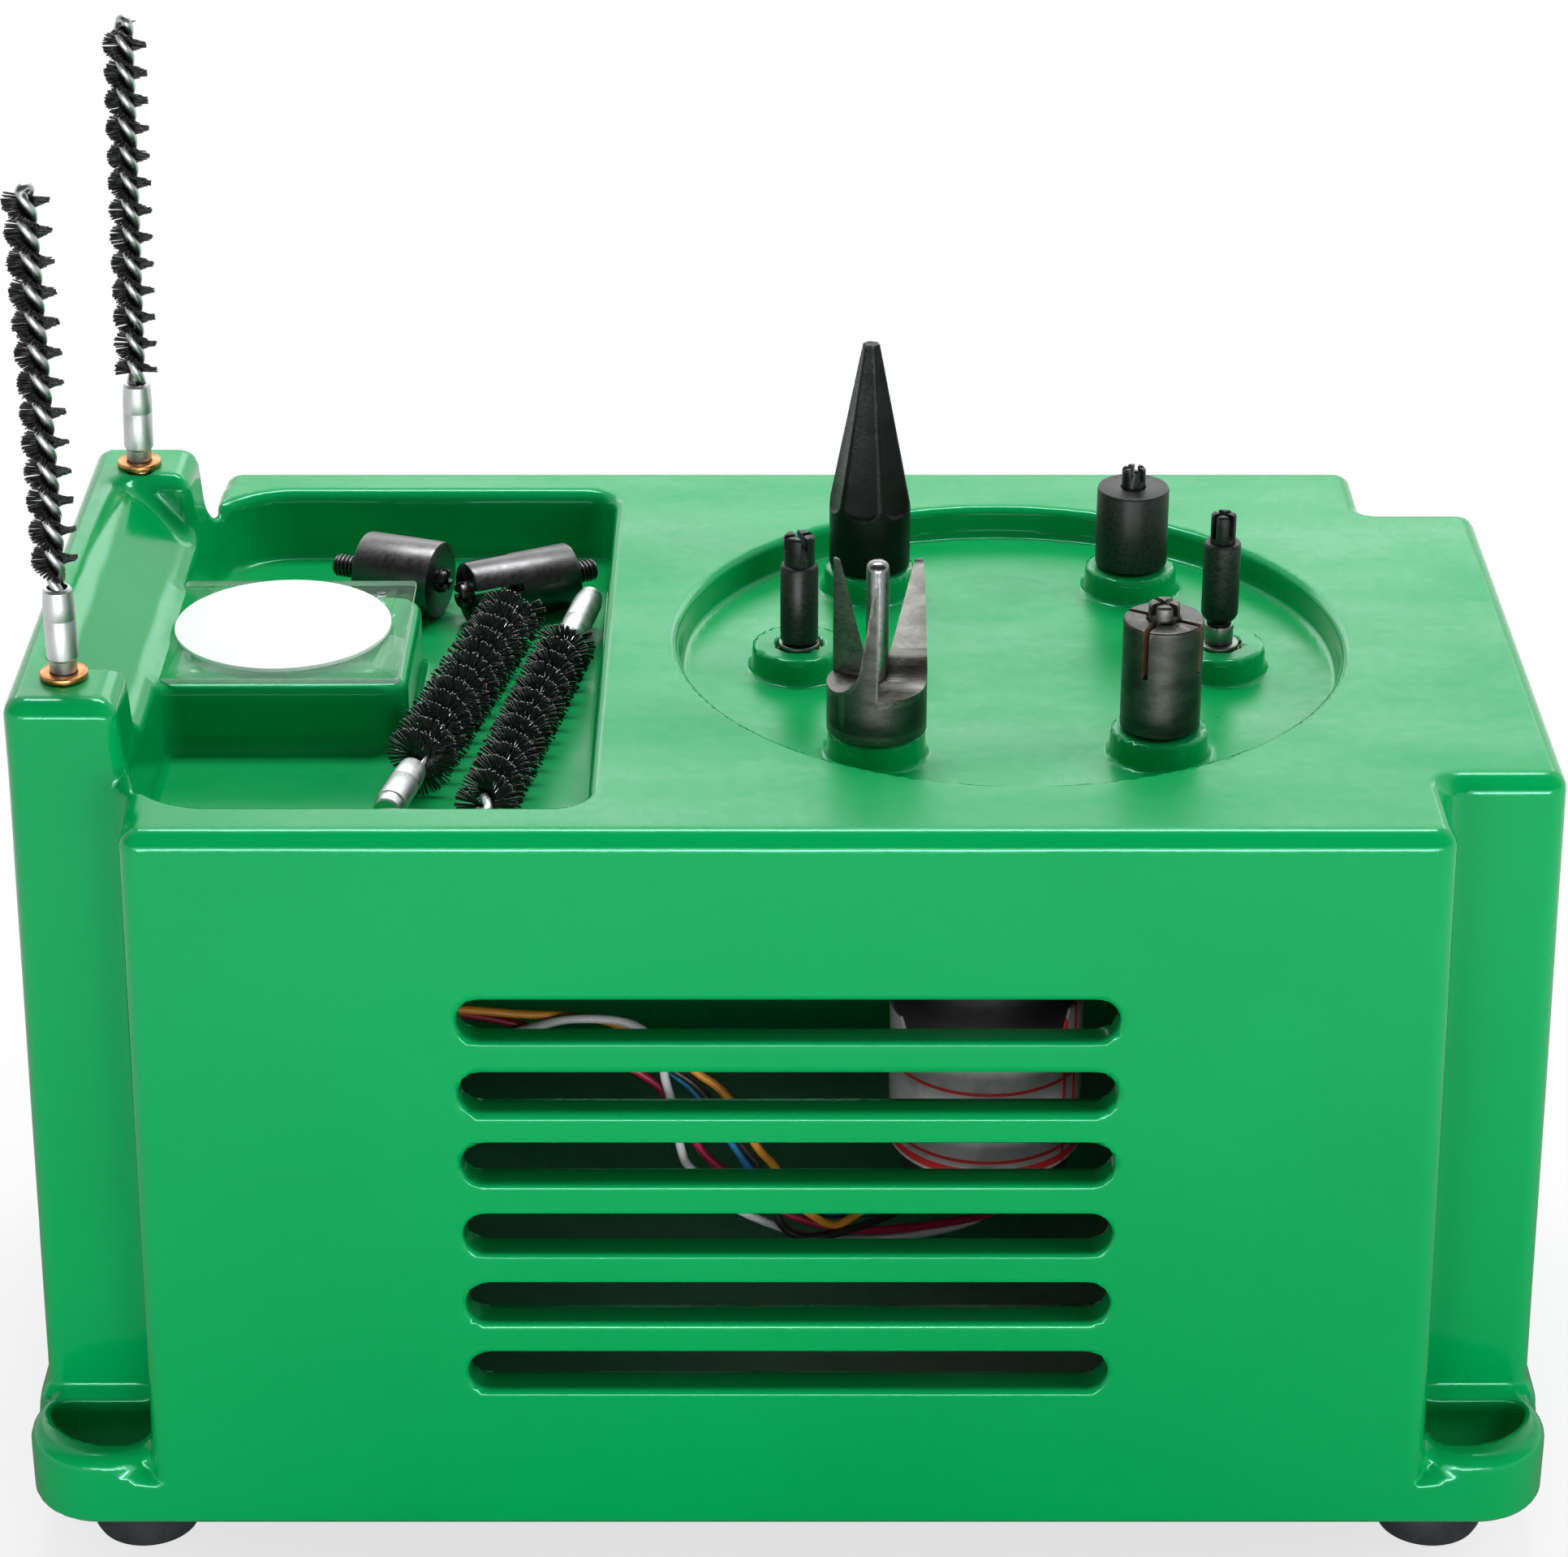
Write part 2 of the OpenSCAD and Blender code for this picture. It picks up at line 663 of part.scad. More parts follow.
module gearbox_case() {
    color([0.12, 0.12, 0.13]) difference() {
        translate([motor_x, 0, gearbox_z]) {
            cylinder(d = motor_dia + 1.2, h = gearbox_len);
            translate([0, 0, gearbox_len * 0.35]) cylinder(d = motor_dia + 2.2, h = 2);
        }
        translate([hub_x, 0, gear_plate_z - 12.5])
            cylinder(d = drive_dia + 2 * run_clear, h = 20);
        for (p = motor_screw_at) translate([p[0], p[1], gear_plate_z - 6.5])
            cylinder(r = plate_screw_r + run_clear, h = 20);
    }
}

module motor_can() {
    color([0.5, 0.5, 0.52]) translate([motor_x, 0, can_z])
        cylinder(d = motor_dia, h = motor_len);
}

module motor_wrap() {
    color([0.82, 0.82, 0.8]) translate([motor_x, 0, can_z + 1])
        tube(motor_dia / 2 + 0.5, motor_dia / 2 + seat_clear, wrap_h);
}

lead_count = 5;
lead_r = 0.8;
lead_pitch = 2.1;
tab_w = 0.8;
function tab_x(i) = motor_x + 8.4 - 4.2 * i;

module motor_end_cap() {
    color([0.09, 0.09, 0.1]) translate([motor_x, 0, end_cap_z]) {
        cylinder(d = motor_dia - 3, h = end_cap_t);
        for (i = [0 : lead_count - 1]) translate([tab_x(i) - motor_x - tab_w / 2, -4 - tab_w / 2, -tab_len])
            cube([tab_w, tab_w, tab_len]);
    }
}

// Route of the lead bundle, from the terminal block to the motor
block_size = [12, 24, 16];
lead_y = -20;
lead_start_z = 80;
lead_route = [[-in_post_x + block_size[0], lead_y, lead_start_z], [-92, -20, 80], [-70, -20, 80], [-58, -20, 79],
    [-45, -20, 80], [-34, -20, 79], [-26, -20, 73], [-18, -20, 63], [-10, -20, 49],
    [0, -20, 37], [12, -20, 31], [22, -17, 28]];
function unit(v) = v / norm(v);
function path_dir(path, i) = unit(path[min(i + 1, len(path) - 1)] - path[max(i - 1, 0)]);
// One lead of the bundle keeps its own distance from the route
function lead_path(k) =
    let (off = (k - (lead_count - 1) / 2) * lead_pitch,
         n = len(lead_route),
         tab = [tab_x(k), -4, end_cap_z - tab_len])
    concat(
        [for (i = [0 : n - 2]) let (d = path_dir(lead_route, i))
            lead_route[i] + off * [-d[2], 0, d[0]]],
        [[tab[0] - 1.5, -8, tab[2] - 4 - 1.2 * (lead_count - 1 - k)], tab - [0, 0, 2], tab]);
function ring(p, d, r, sides) =
    let (side = unit(cross(d, [0, 1, 0.001])), up = cross(side, d))
    [for (a = [0 : 360 / sides : 359]) p + r * (cos(a) * side + sin(a) * up)];
module swept_lead(path, r, sides) {
    n = len(path);
    pts = [for (i = [0 : n - 1]) for (q = ring(path[i], path_dir(path, i), r, sides)) q];
    walls = [for (i = [0 : n - 2]) for (j = [0 : sides - 1])
        let (a = i * sides + j, b = i * sides + (j + 1) % sides)
        [a, b, b + sides, a + sides]];
    polyhedron(pts, concat([[for (j = [sides - 1 : -1 : 0]) j]],
        walls, [[for (j = [0 : sides - 1]) (n - 1) * sides + j]]), convexity = 4);
}
lead_colors = [[0.72, 0.1, 0.25], [0.9, 0.9, 0.92], [0.1, 0.4, 0.75], [0.05, 0.05, 0.05],
    [0.9, 0.5, 0.12]];

module motor_leads() {
    for (k = [0 : lead_count - 1]) color(lead_colors[k]) swept_lead(lead_path(k), lead_r, 8);
}

module terminal_block() {
    color([0.15, 0.15, 0.16]) translate([-in_post_x, lead_y - block_size[1] / 2,
        lead_start_z - block_size[2] / 2]) cube(block_size);
}

module cord_inlet() {
    back = in_panel_y - 4;
    color([0.06, 0.06, 0.07]) translate([inlet_at[0], 0, inlet_at[1]]) rotate([-90, 0, 0]) difference() {
        union() {
            translate([0, 0, back]) cylinder(r = inlet_r, h = inlet_seat_y - back + 1);
            translate([0, 0, inlet_seat_y]) cylinder(r = inlet_flange_r, h = 2.5);
        }
        cylinder(r = inlet_bore_r, h = panel_y + 20);
    }
}

// ---------- rocker switch ----------

rocker_half = 8.4;
rocker_w = 9.6;
rocker_pivot_in = 1.2;
rocker_tilt = 8;
rocker_gap = 0.3;
rocker_pin_r = 1;

module switch_body() {
    sx = switch_seat_x;
    color([0.07, 0.07, 0.08]) translate([0, switch_at[0], switch_at[1]]) difference() {
        union() {
            translate([sx, -bezel[0] / 2, -bezel[1] / 2]) cube([2, bezel[0], bezel[1]]);
            translate([sx - switch_depth, -switch_case[0] / 2, -switch_case[1] / 2])
                cube([switch_depth + 0.5, switch_case[0], switch_case[1]]);
        }
        translate([sx - 11, -rocker_w / 2 - rocker_gap, -rocker_half - rocker_gap])
            cube([20, rocker_w + 2 * rocker_gap, 2 * (rocker_half + rocker_gap)]);
        translate([sx - rocker_pivot_in, 0, 0]) rotate([90, 0, 0])
            cylinder(r = rocker_pin_r + run_clear, h = 11.4, center = true);
    }
}

module switch_rocker() {
    color([0.13, 0.13, 0.14]) translate([switch_seat_x - rocker_pivot_in, switch_at[0], switch_at[1]])
        rotate([90, 0, 0]) rotate(-rocker_tilt) {
            linear_extrude(rocker_w, center = true) intersection() {
                circle(rocker_half, $fn = 64);
                polygon([[-3, -9], [-3, 9], [4.8, 9], [3.6, 0], [4.8, -9]]);
            }
            cylinder(r = rocker_pin_r, h = 11, center = true);
        }
}

// ---------- upright brushes ----------

insert_r = 3.2;
ferrule_dia = 5.3;
ferrule_len = 15;
neck_dia = 4.6;
neck_len = 2.5;
washer_t = 1.2;
washer_dia = 8;
brush_pitch = 10.2;
stem_len = 75;
strand_dia = 1.6;
bristle_from = 2.5;
bristle_len = 65;
bristle_dia = 7.8;
bristle_t = 0.9;
rear_lean = 1.9;

module brush_inserts() {
    color([0.78, 0.62, 0.3]) for (sy = [-1, 1]) translate([brush_x, sy * brush_y, tower_z - 11.5])
        difference() {
            cylinder(r = insert_r, h = 11.5);
            translate([0, 0, 1]) cylinder(d = stud_dia + 2 * run_clear, h = 20);
        }
}

module brush_washers() {
    color([0.80, 0.52, 0.30]) for (sy = [-1, 1]) translate([brush_x, sy * brush_y, tower_z])
        tube(washer_dia / 2, stud_dia / 2 + 0.1, washer_t);
}

module at_brush(side) {
    translate([brush_x, side * brush_y, tower_z + washer_t]) children();
}
// The brush above its stud leans a little
module leaning(lean) {
    rotate([0, lean, 0]) children();
}

module ferrule() {
    difference() {
        union() {
            translate([0, 0, 0.1]) cylinder(d = neck_dia, h = neck_len);
            translate([0, 0, neck_len]) cylinder(d = ferrule_dia, h = ferrule_len - neck_len);
        }
        translate([0, 0, ferrule_len - 6]) cylinder(r = strand_dia + run_clear, h = 10);
    }
}

module twisted_stem(length, pitch) {
    turns = length / pitch;
    linear_extrude(length, twist = 360 * turns, slices = ceil(turns * 10), segments = 6)
        for (s = [-1, 1]) translate([0, s * strand_dia / 2]) circle(d = strand_dia, $fn = 6);
}

module bristle_vanes(length, pitch, dia, thick) {
    turns = length / pitch;
    linear_extrude(length, twist = 360 * turns, slices = ceil(turns * 10), segments = 4)
        for (s = [-1, 1]) translate([s * (dia / 4 + strand_dia / 4), 0])
            square([dia / 2 - strand_dia / 2, thick], center = true);
}

module upright_ferrule(side, lean) {
    color([0.85, 0.86, 0.87]) at_brush(side) {
        translate([0, 0, -washer_t - 9]) cylinder(d = stud_dia, h = 9 + washer_t + 0.5);
        leaning(lean) ferrule();
    }
}

module upright_stem(side, lean) {
    color([0.75, 0.77, 0.78]) at_brush(side) leaning(lean) translate([0, 0, ferrule_len - 5.5])
        twisted_stem(stem_len, brush_pitch);
}

module upright_bristles(side, lean) {
    color([0.05, 0.05, 0.06]) at_brush(side) leaning(lean)
        translate([0, 0, ferrule_len - 5.5]) rotate(-360 * (5.5 + bristle_from) / brush_pitch)
            translate([0, 0, 5.5 + bristle_from])
                bristle_vanes(bristle_len, brush_pitch, bristle_dia, bristle_t);
}

// ---------- tools on the spindles ----------

module tool_at(name) {
    at_station(name) translate([0, 0, spindle_top]) children();
}
module stud() {
    translate([0, 0, -stud_len]) cylinder(d = stud_dia, h = stud_len + 0.1);
}
// Teeth cut across the end of a tip by crossed slots
module toothed_tip(dia, h, slot) {
    difference() {
        cylinder(d = dia, h = h);
        for (a = [0, 90]) rotate(a) translate([-dia, -slot / 2, h - 1.2]) cube([2 * dia, slot, 2]);
    }
}

module large_pocket_brush_l() {
    color([0.1, 0.1, 0.11]) tool_at("l") {
        stud();
        cylinder(d = 6.7, h = 15);
        translate([0, 0, 15]) rotate(20) toothed_tip(5.4, 5.3, 1.1);
    }
}

module small_pocket_brush_r() {
    color([0.1, 0.1, 0.11]) tool_at("r") {
        stud();
        cylinder(d = 4.6, h = 4.6);
        translate([0, 0, 4.5]) cylinder(d = 6.5, h = 14.6);
        translate([0, 0, 19]) rotate(35) toothed_tip(4.4, 5.4, 1);
    }
}

// Fluted chamfer cone: six flats that run out in a scoop above the shoulder
cone_body_dia = 14.8;
cone_body_h = 13;
cone_h = 29.9;
cone_tip_dia = 3.2;
module chamfer_cone_bl() {
    slope = atan((cone_body_dia - cone_tip_dia) / 2 / cone_h);
    color([0.08, 0.08, 0.09]) tool_at("bl") {
        stud();
        cylinder(d = cone_body_dia, h = cone_body_h);
        translate([0, 0, cone_body_h]) difference() {
            cylinder(d1 = cone_body_dia, d2 = cone_tip_dia, h = cone_h);
            for (k = [0 : 5]) rotate(60 * k + 15) translate([cone_body_dia / 2, 0, 0])
                rotate([0, -slope, 0]) translate([-0.85, 0, 2.2]) rotate([90, 0, 0])
                    linear_extrude(6.4, center = true) union() {
                        translate([0, 1.6]) square([5, cone_h + 5]);
                        translate([1.6, 1.6]) circle(1.6, $fn = 32);
                    }
        }
    }
}

uniformer_br_dia = 13.1;
uniformer_br_h = 15.2;
module uniformer_body_br() {
    color([0.1, 0.1, 0.11]) tool_at("br") difference() {
        union() {
            stud();
            cylinder(d = uniformer_br_dia, h = uniformer_br_h);
        }
        translate([0, 0, uniformer_br_h - 8]) cylinder(d = 4.3 + 2 * seat_clear, h = 10);
    }
}
module uniformer_cutter_br() {
    color([0.15, 0.15, 0.16]) tool_at("br") translate([0, 0, uniformer_br_h - 8])
        rotate(10) toothed_tip(4.3, 8 + 3.7, 0.9);
}

uniformer_fr_dia = 13.6;
uniformer_fr_h = 20;
module uniformer_body_fr() {
    color([0.35, 0.34, 0.33]) tool_at("fr") difference() {
        union() {
            stud();
            cylinder(d = uniformer_fr_dia, h = uniformer_fr_h);
        }
        for (a = [0, 90]) rotate(a + 60) translate([-20, -0.8, uniformer_fr_h - 9]) cube([40, 1.6, 20]);
        translate([0, 0, uniformer_fr_h - 12]) cylinder(d = 5.4 + 2 * seat_clear, h = 20);
    }
}
module uniformer_cutter_fr() {
    color([0.4, 0.38, 0.36]) tool_at("fr") translate([0, 0, uniformer_fr_h - 12])
        rotate(60) toothed_tip(5.4, 12 + 3.6, 1.2);
}

// Outside deburring crown: three fangs round an inner cone
crown_dia = 17;
crown_h = 29;
crown_gullet_h = 8.3;
pilot_dia = 3.9;
// One gullet of the crown: a radial cutting face on its left, a round floor, and
// the leaning back of the next fang
crown_back_low = [1.38, 13.83];
crown_back_top = [3.6, crown_h];
module crown_gullet() {
    lean = atan2(crown_back_top[0] - crown_back_low[0], crown_back_top[1] - crown_back_low[1]);
    r = (crown_back_low[1] - crown_gullet_h) / (1 - sin(lean));
    centre = [crown_back_low[0] - r * cos(lean), crown_gullet_h + r];
    over = 3;
    rotate([90, 0, 90]) linear_extrude(crown_dia) polygon(concat(
        [[-crown_dia, crown_gullet_h], [centre[0], crown_gullet_h]],
        [for (i = [1 : 6]) let (a = -90 + i * (90 - lean) / 6) centre + r * [cos(a), sin(a)]],
        [crown_back_top + over * [tan(lean), 1], [-crown_dia, crown_h + over]]));
}
module deburr_crown_fl() {
    color([0.4, 0.4, 0.39]) tool_at("fl") difference() {
        union() {
            stud();
            cylinder(d = crown_dia, h = crown_h);
        }
        translate([0, 0, 3]) cylinder(d = pilot_dia + 2 * seat_clear, h = crown_h);
        for (k = [0 : 2]) rotate(120 * k) crown_gullet();
    }
}
module deburr_pilot_fl() {
    color([0.5, 0.5, 0.5]) tool_at("fl") translate([0, 0, 3]) {
        cylinder(d = pilot_dia, h = 26.6);
        translate([0, 0, 26.5]) cylinder(d1 = pilot_dia, d2 = pilot_dia - 1, h = 0.9);
    }
}

// ---------- pieces that lie in the tray ----------

module dish_plate() {
    pip_r = 0.8;
    pip_in = 5.8;
    color([0.85, 0.95, 0.9, 0.4]) translate([dish_x, dish_y, dish_z]) {
        linear_extrude(dish_t) rounded_rect(dish_w / 2, dish_d / 2, 1);
        for (sx = [-1, 1]) for (sy = [-1, 1])
            translate([sx * (dish_w / 2 - pip_in), sy * (dish_d / 2 - pip_in), 0]) cylinder(r = pip_r, h = dish_t + 0.3);
    }
}

module dish_disc() {
    color([0.97, 0.97, 1]) translate([dish_left + disc_dia / 2 + 0.6, dish_y + 0.6, dish_z + dish_t])
        cylinder(d = disc_dia, h = disc_t, $fn = 96);
}

// The lane of the tray beside the dish, which the two loose brushes share
lane_left = dish_left + dish_w;
lane_w = tray_right - lane_left;
function lane_x(part) = lane_left + part * lane_w;
// A brush that lies on the tray floor, from its ferrule end towards its tip
brush_a_dia = 0.374 * lane_w;
brush_b_dia = 0.321 * lane_w;
// Brush B keeps its ferrule clear of the fillet along the wall, and brush A keeps
// its tip clear of brush B and its side clear of the pedestal
ferrule_up = (brush_b_dia - ferrule_dia) / 2;
fillet_in = 0.5 + tray_fillet - sqrt(pow(tray_fillet, 2) - pow(max(tray_fillet - ferrule_up, 0), 2));
brush_b_from = [tray_right - ferrule_dia / 2 - fillet_in, 34];
brush_b_to = [lane_x(0.481), -54];
brush_a_tip_y = 26;
brush_gap = 0.2;
brush_b_beside = brush_b_from[0] + (brush_b_to[0] - brush_b_from[0])
    * (brush_b_from[1] - brush_a_tip_y) / (brush_b_from[1] - brush_b_to[1]);
brush_a_to = [brush_b_beside - (brush_a_dia + brush_b_dia) / 2 - brush_gap, brush_a_tip_y];
brush_a_beside = pedestal_right + brush_a_dia / 2 * 1.03 + brush_gap;
brush_a_from_y = -55.4;
brush_a_from = [brush_a_beside + (brush_a_beside - brush_a_to[0])
    * (pedestal_front - brush_a_from_y) / (brush_a_tip_y - pedestal_front), brush_a_from_y];
module lying(from, to, dia) {
    d = to - from;
    translate([from[0], from[1], tray_z + dia / 2 + rest_gap]) rotate([0, 90, atan2(d[1], d[0])])
        children();
}
module lying_ferrule(from, to, dia, length) {
    color([0.85, 0.86, 0.87]) lying(from, to, dia) difference() {
        cylinder(d = ferrule_dia, h = length);
        translate([0, 0, length - 6]) cylinder(r = strand_dia + run_clear, h = 10);
    }
}
module lying_stem(from, to, dia, length) {
    color([0.75, 0.77, 0.78]) lying(from, to, dia) translate([0, 0, length - 5.5])
        twisted_stem(norm(to - from) - length + 5.5, brush_pitch);
}
module lying_bristles(from, to, dia, length, tail) {
    start = length + 2;
    color([0.05, 0.05, 0.06]) lying(from, to, dia) translate([0, 0, length - 5.5])
        rotate(-360 * 7.5 / brush_pitch) translate([0, 0, 7.5])
            bristle_vanes(norm(to - from) - start - tail, brush_pitch, dia, 1.2);
}

// A spare screw-in cutter: stud, round body and a toothed tip
module spare_tool(dia, length, tip_dia, tip_len, stud) {
    rotate([0, 90, 0]) {
        translate([0, 0, -stud]) cylinder(d = stud_dia, h = stud + 0.1);
        cylinder(d = dia, h = length);
        translate([0, 0, length]) toothed_tip(tip_dia, tip_len, 1);
    }
}
module loose_tool_a() {
    dia = 14.3;
    color([0.2, 0.2, 0.21]) translate([tray_right - 45.7, 43.4, tray_z + dia / 2 + rest_gap]) rotate(-19.9)
        spare_tool(dia, 15.2, 4.4, 1.5, 6.2);
}
// This one has crossed slots down its body like the tool at the front right
module loose_tool_b() {
    dia = 12;
    length = 20.8;
    color([0.22, 0.22, 0.23]) translate([tray_right - 7.8, 43.6, tray_z + dia / 2 + rest_gap]) rotate(180 + 27)
        difference() {
            spare_tool(dia, length, 5, 1.8, 5);
            for (a = [20, 110]) rotate([a, 0, 0]) translate([length - 9, -0.7, 2.9]) {
                cube([20, 1.4, dia]);
                translate([0, 0, -dia - 5.8]) cube([20, 1.4, dia]);
            }
        }
}

housing();
base_plate();
base_screws();
rubber_feet();
gear_plate();
gear_plate_posts();
gear_plate_screws();
upper_bushes();
lower_bushes();
gearbox_case();
motor_can();
motor_wrap();
motor_end_cap();
motor_leads();
terminal_block();
cord_inlet();
switch_body();
switch_rocker();
brush_inserts();
brush_washers();
upright_ferrule(-1, 0);  // front_brush_ferrule
upright_stem(-1, 0);  // front_brush_stem
upright_bristles(-1, 0);  // front_brush_bristles
upright_ferrule(1, rear_lean);  // rear_brush_ferrule
upright_stem(1, rear_lean);  // rear_brush_stem
upright_bristles(1, rear_lean);  // rear_brush_bristles
drive_shaft();
drive_gear();
spindle("l");  // spindle_l
spindle("r");  // spindle_r
spindle("bl");  // spindle_bl
spindle("br");  // spindle_br
spindle("fl");  // spindle_fl
spindle("fr");  // spindle_fr
station_gear("l");  // gear_l
station_gear("r");  // gear_r
station_gear("bl");  // gear_bl
station_gear("br");  // gear_br
station_gear("fl");  // gear_fl
station_gear("fr");  // gear_fr
large_pocket_brush_l();
small_pocket_brush_r();
chamfer_cone_bl();
uniformer_body_br();
uniformer_cutter_br();
deburr_crown_fl();
deburr_pilot_fl();
uniformer_body_fr();
uniformer_cutter_fr();
dish_plate();
dish_disc();
lying_ferrule(brush_a_from, brush_a_to, brush_a_dia, 16);  // loose_brush_a_ferrule
lying_stem(brush_a_from, brush_a_to, brush_a_dia, 16);  // loose_brush_a_stem
lying_bristles(brush_a_from, brush_a_to, brush_a_dia, 16, 1);  // loose_brush_a_bristles
lying_ferrule(brush_b_from, brush_b_to, brush_b_dia, 19);  // loose_brush_b_ferrule
lying_stem(brush_b_from, brush_b_to, brush_b_dia, 19);  // loose_brush_b_stem
lying_bristles(brush_b_from, brush_b_to, brush_b_dia, 19, 1);  // loose_brush_b_bristles
loose_tool_a();
loose_tool_b();
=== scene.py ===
import json
import math
import bmesh
import bpy
import numpy as np
from mathutils import Matrix, Vector

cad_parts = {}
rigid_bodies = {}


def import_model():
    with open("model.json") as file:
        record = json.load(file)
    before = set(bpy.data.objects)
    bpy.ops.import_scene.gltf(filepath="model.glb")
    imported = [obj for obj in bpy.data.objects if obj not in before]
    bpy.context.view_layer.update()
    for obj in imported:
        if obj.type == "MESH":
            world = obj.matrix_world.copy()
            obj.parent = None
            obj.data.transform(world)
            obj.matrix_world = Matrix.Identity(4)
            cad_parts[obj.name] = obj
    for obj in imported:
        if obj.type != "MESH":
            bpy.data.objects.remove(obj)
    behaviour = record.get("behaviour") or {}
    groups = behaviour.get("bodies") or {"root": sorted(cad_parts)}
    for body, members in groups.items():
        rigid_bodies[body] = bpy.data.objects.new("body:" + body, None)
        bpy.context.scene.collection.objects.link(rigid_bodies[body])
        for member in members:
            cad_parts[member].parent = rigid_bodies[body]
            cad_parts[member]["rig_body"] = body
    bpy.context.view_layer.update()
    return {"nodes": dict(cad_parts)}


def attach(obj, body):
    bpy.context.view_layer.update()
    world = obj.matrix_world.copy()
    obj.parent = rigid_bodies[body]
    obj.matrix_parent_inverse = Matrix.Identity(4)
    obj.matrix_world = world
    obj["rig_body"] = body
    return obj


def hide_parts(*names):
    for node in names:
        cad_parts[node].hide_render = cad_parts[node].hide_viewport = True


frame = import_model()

nodes = frame["nodes"]

# ---- Camera ------------------------------------------------------------------
# A short telephoto that looks down on the machine from in front, at the eye
# level of someone who sits at the bench.
scene = bpy.context.scene
lens = bpy.data.cameras.new("bench_camera")
lens.sensor_width = 36.0
lens.lens = 98.91
lens.shift_x = -0.002484472
camera = bpy.data.objects.new("bench_camera", lens)
camera.location = (0.0, -0.692998, 0.45849)
LOOK_DOWN = 26.343
camera.rotation_euler = (math.radians(90 - LOOK_DOWN), 0.0, 0.0)
scene.collection.objects.link(camera)
scene.camera = camera

# ---- Light and surroundings --------------------------------------------------
# A light tent: a wide soft box overhead and behind, a low card in front that
# also lights the floor, and a weak even fill. The tent is white to the eye.
scene.view_settings.view_transform = "Standard"


def added(tree, kind, sockets=None, **settings):
    """A new node; each of its sockets takes a value, or a link from another node's output."""
    node = tree.nodes.new(kind)
    for name, value in settings.items():
        setattr(node, name, value)
    for name, value in (sockets or {}).items():
        if isinstance(value, bpy.types.NodeSocket):
            tree.links.new(value, node.inputs[name])
        else:
            node.inputs[name].default_value = value
    return node


def calc(tree, operation, *values):
    """The result of one sum on values or outputs."""
    return added(tree, "ShaderNodeMath", dict(enumerate(values)), operation=operation).outputs[0]


def ranged(tree, value, low, high, to_low=0.0, to_high=1.0, kind="SMOOTHSTEP"):
    """A value between low and high, carried over to another range."""
    ends = {"Value": value, "From Min": low, "From Max": high, "To Min": to_low, "To Max": to_high}
    return added(tree, "ShaderNodeMapRange", ends, interpolation_type=kind).outputs["Result"]


def direct_view(tree):
    """1 where a surface is seen by eye, in gloss or through glass, else 0."""
    rays = added(tree, "ShaderNodeLightPath").outputs
    by_eye = calc(tree, "MAXIMUM", rays["Is Camera Ray"], rays["Is Glossy Ray"])
    return calc(tree, "MAXIMUM", by_eye, rays["Is Transmission Ray"])


world = bpy.data.worlds.new("tent")
scene.world = world
world.use_nodes = True
wt = world.node_tree
wt.nodes.clear()
felt = added(wt, "ShaderNodeBackground", {"Color": (0.96, 0.98, 1.0, 1.0), "Strength": 0.11})
# The open front of the tent, where the room is dark, shows in gloss only
room = added(wt, "ShaderNodeTexCoord").outputs["Generated"]
room_at = added(wt, "ShaderNodeSeparateXYZ", {0: room}).outputs
opening = calc(wt, "MULTIPLY", ranged(wt, room_at["Y"], 0.35, -0.10), ranged(wt, room_at["Z"], 0.02, 0.18))
opening = calc(wt, "MULTIPLY", opening, added(wt, "ShaderNodeLightPath").outputs["Is Glossy Ray"])
dark = ranged(wt, opening, 0.0, 1.0, 1.0, 0.08, kind="LINEAR")
seen = added(wt, "ShaderNodeBackground", {"Color": (1.0, 1.0, 1.0, 1.0), "Strength": dark})
tent_mix = added(wt, "ShaderNodeMixShader", {"Fac": direct_view(wt), 1: felt.outputs[0], 2: seen.outputs[0]})
added(wt, "ShaderNodeOutputWorld", {"Surface": tent_mix.outputs[0]})


def soft_box(name, at, aim, width, height, watts):
    """A rectangular lamp that faces aim and isn't seen itself."""
    data = bpy.data.lights.new(name, "AREA")
    data.shape = "RECTANGLE"
    data.size = width
    data.size_y = height
    data.energy = watts
    lamp = bpy.data.objects.new(name, data)
    lamp.location = at
    lamp.rotation_euler = (Vector(aim) - Vector(at)).to_track_quat("-Z", "Y").to_euler()
    lamp.visible_camera = False
    scene.collection.objects.link(lamp)
    return lamp


soft_box("overhead", (0.0, 0.27, 0.92), (0.0, 0.0, 0.14), 0.60, 0.20, 5.6)
soft_box("back_sweep", (0.0, 0.846, 0.57), (0.0, 0.0, 0.14), 1.3, 0.30, 2.6)
soft_box("low_card", (0.0, -0.95, 0.12), (0.0, 0.0, 0.10), 1.2, 0.22, 2.9)
soft_box("edge_strip", (0.0, -0.95, 0.068), (0.0, 0.0, 0.068), 0.70, 0.05, 3.5)
for lamp in (soft_box("left_panel", (-0.9, 0.0, 0.60), (0.0, 0.0, 0.10), 0.6, 0.6, 1.3),
             soft_box("right_panel", (0.9, -0.10, 0.60), (0.0, 0.0, 0.10), 0.6, 0.6, 4.6),
             soft_box("front_fill", (0.0, -0.90, 0.85), (0.0, 0.0, 0.10), 1.6, 0.70, 0.7)):
    lamp.visible_glossy = False

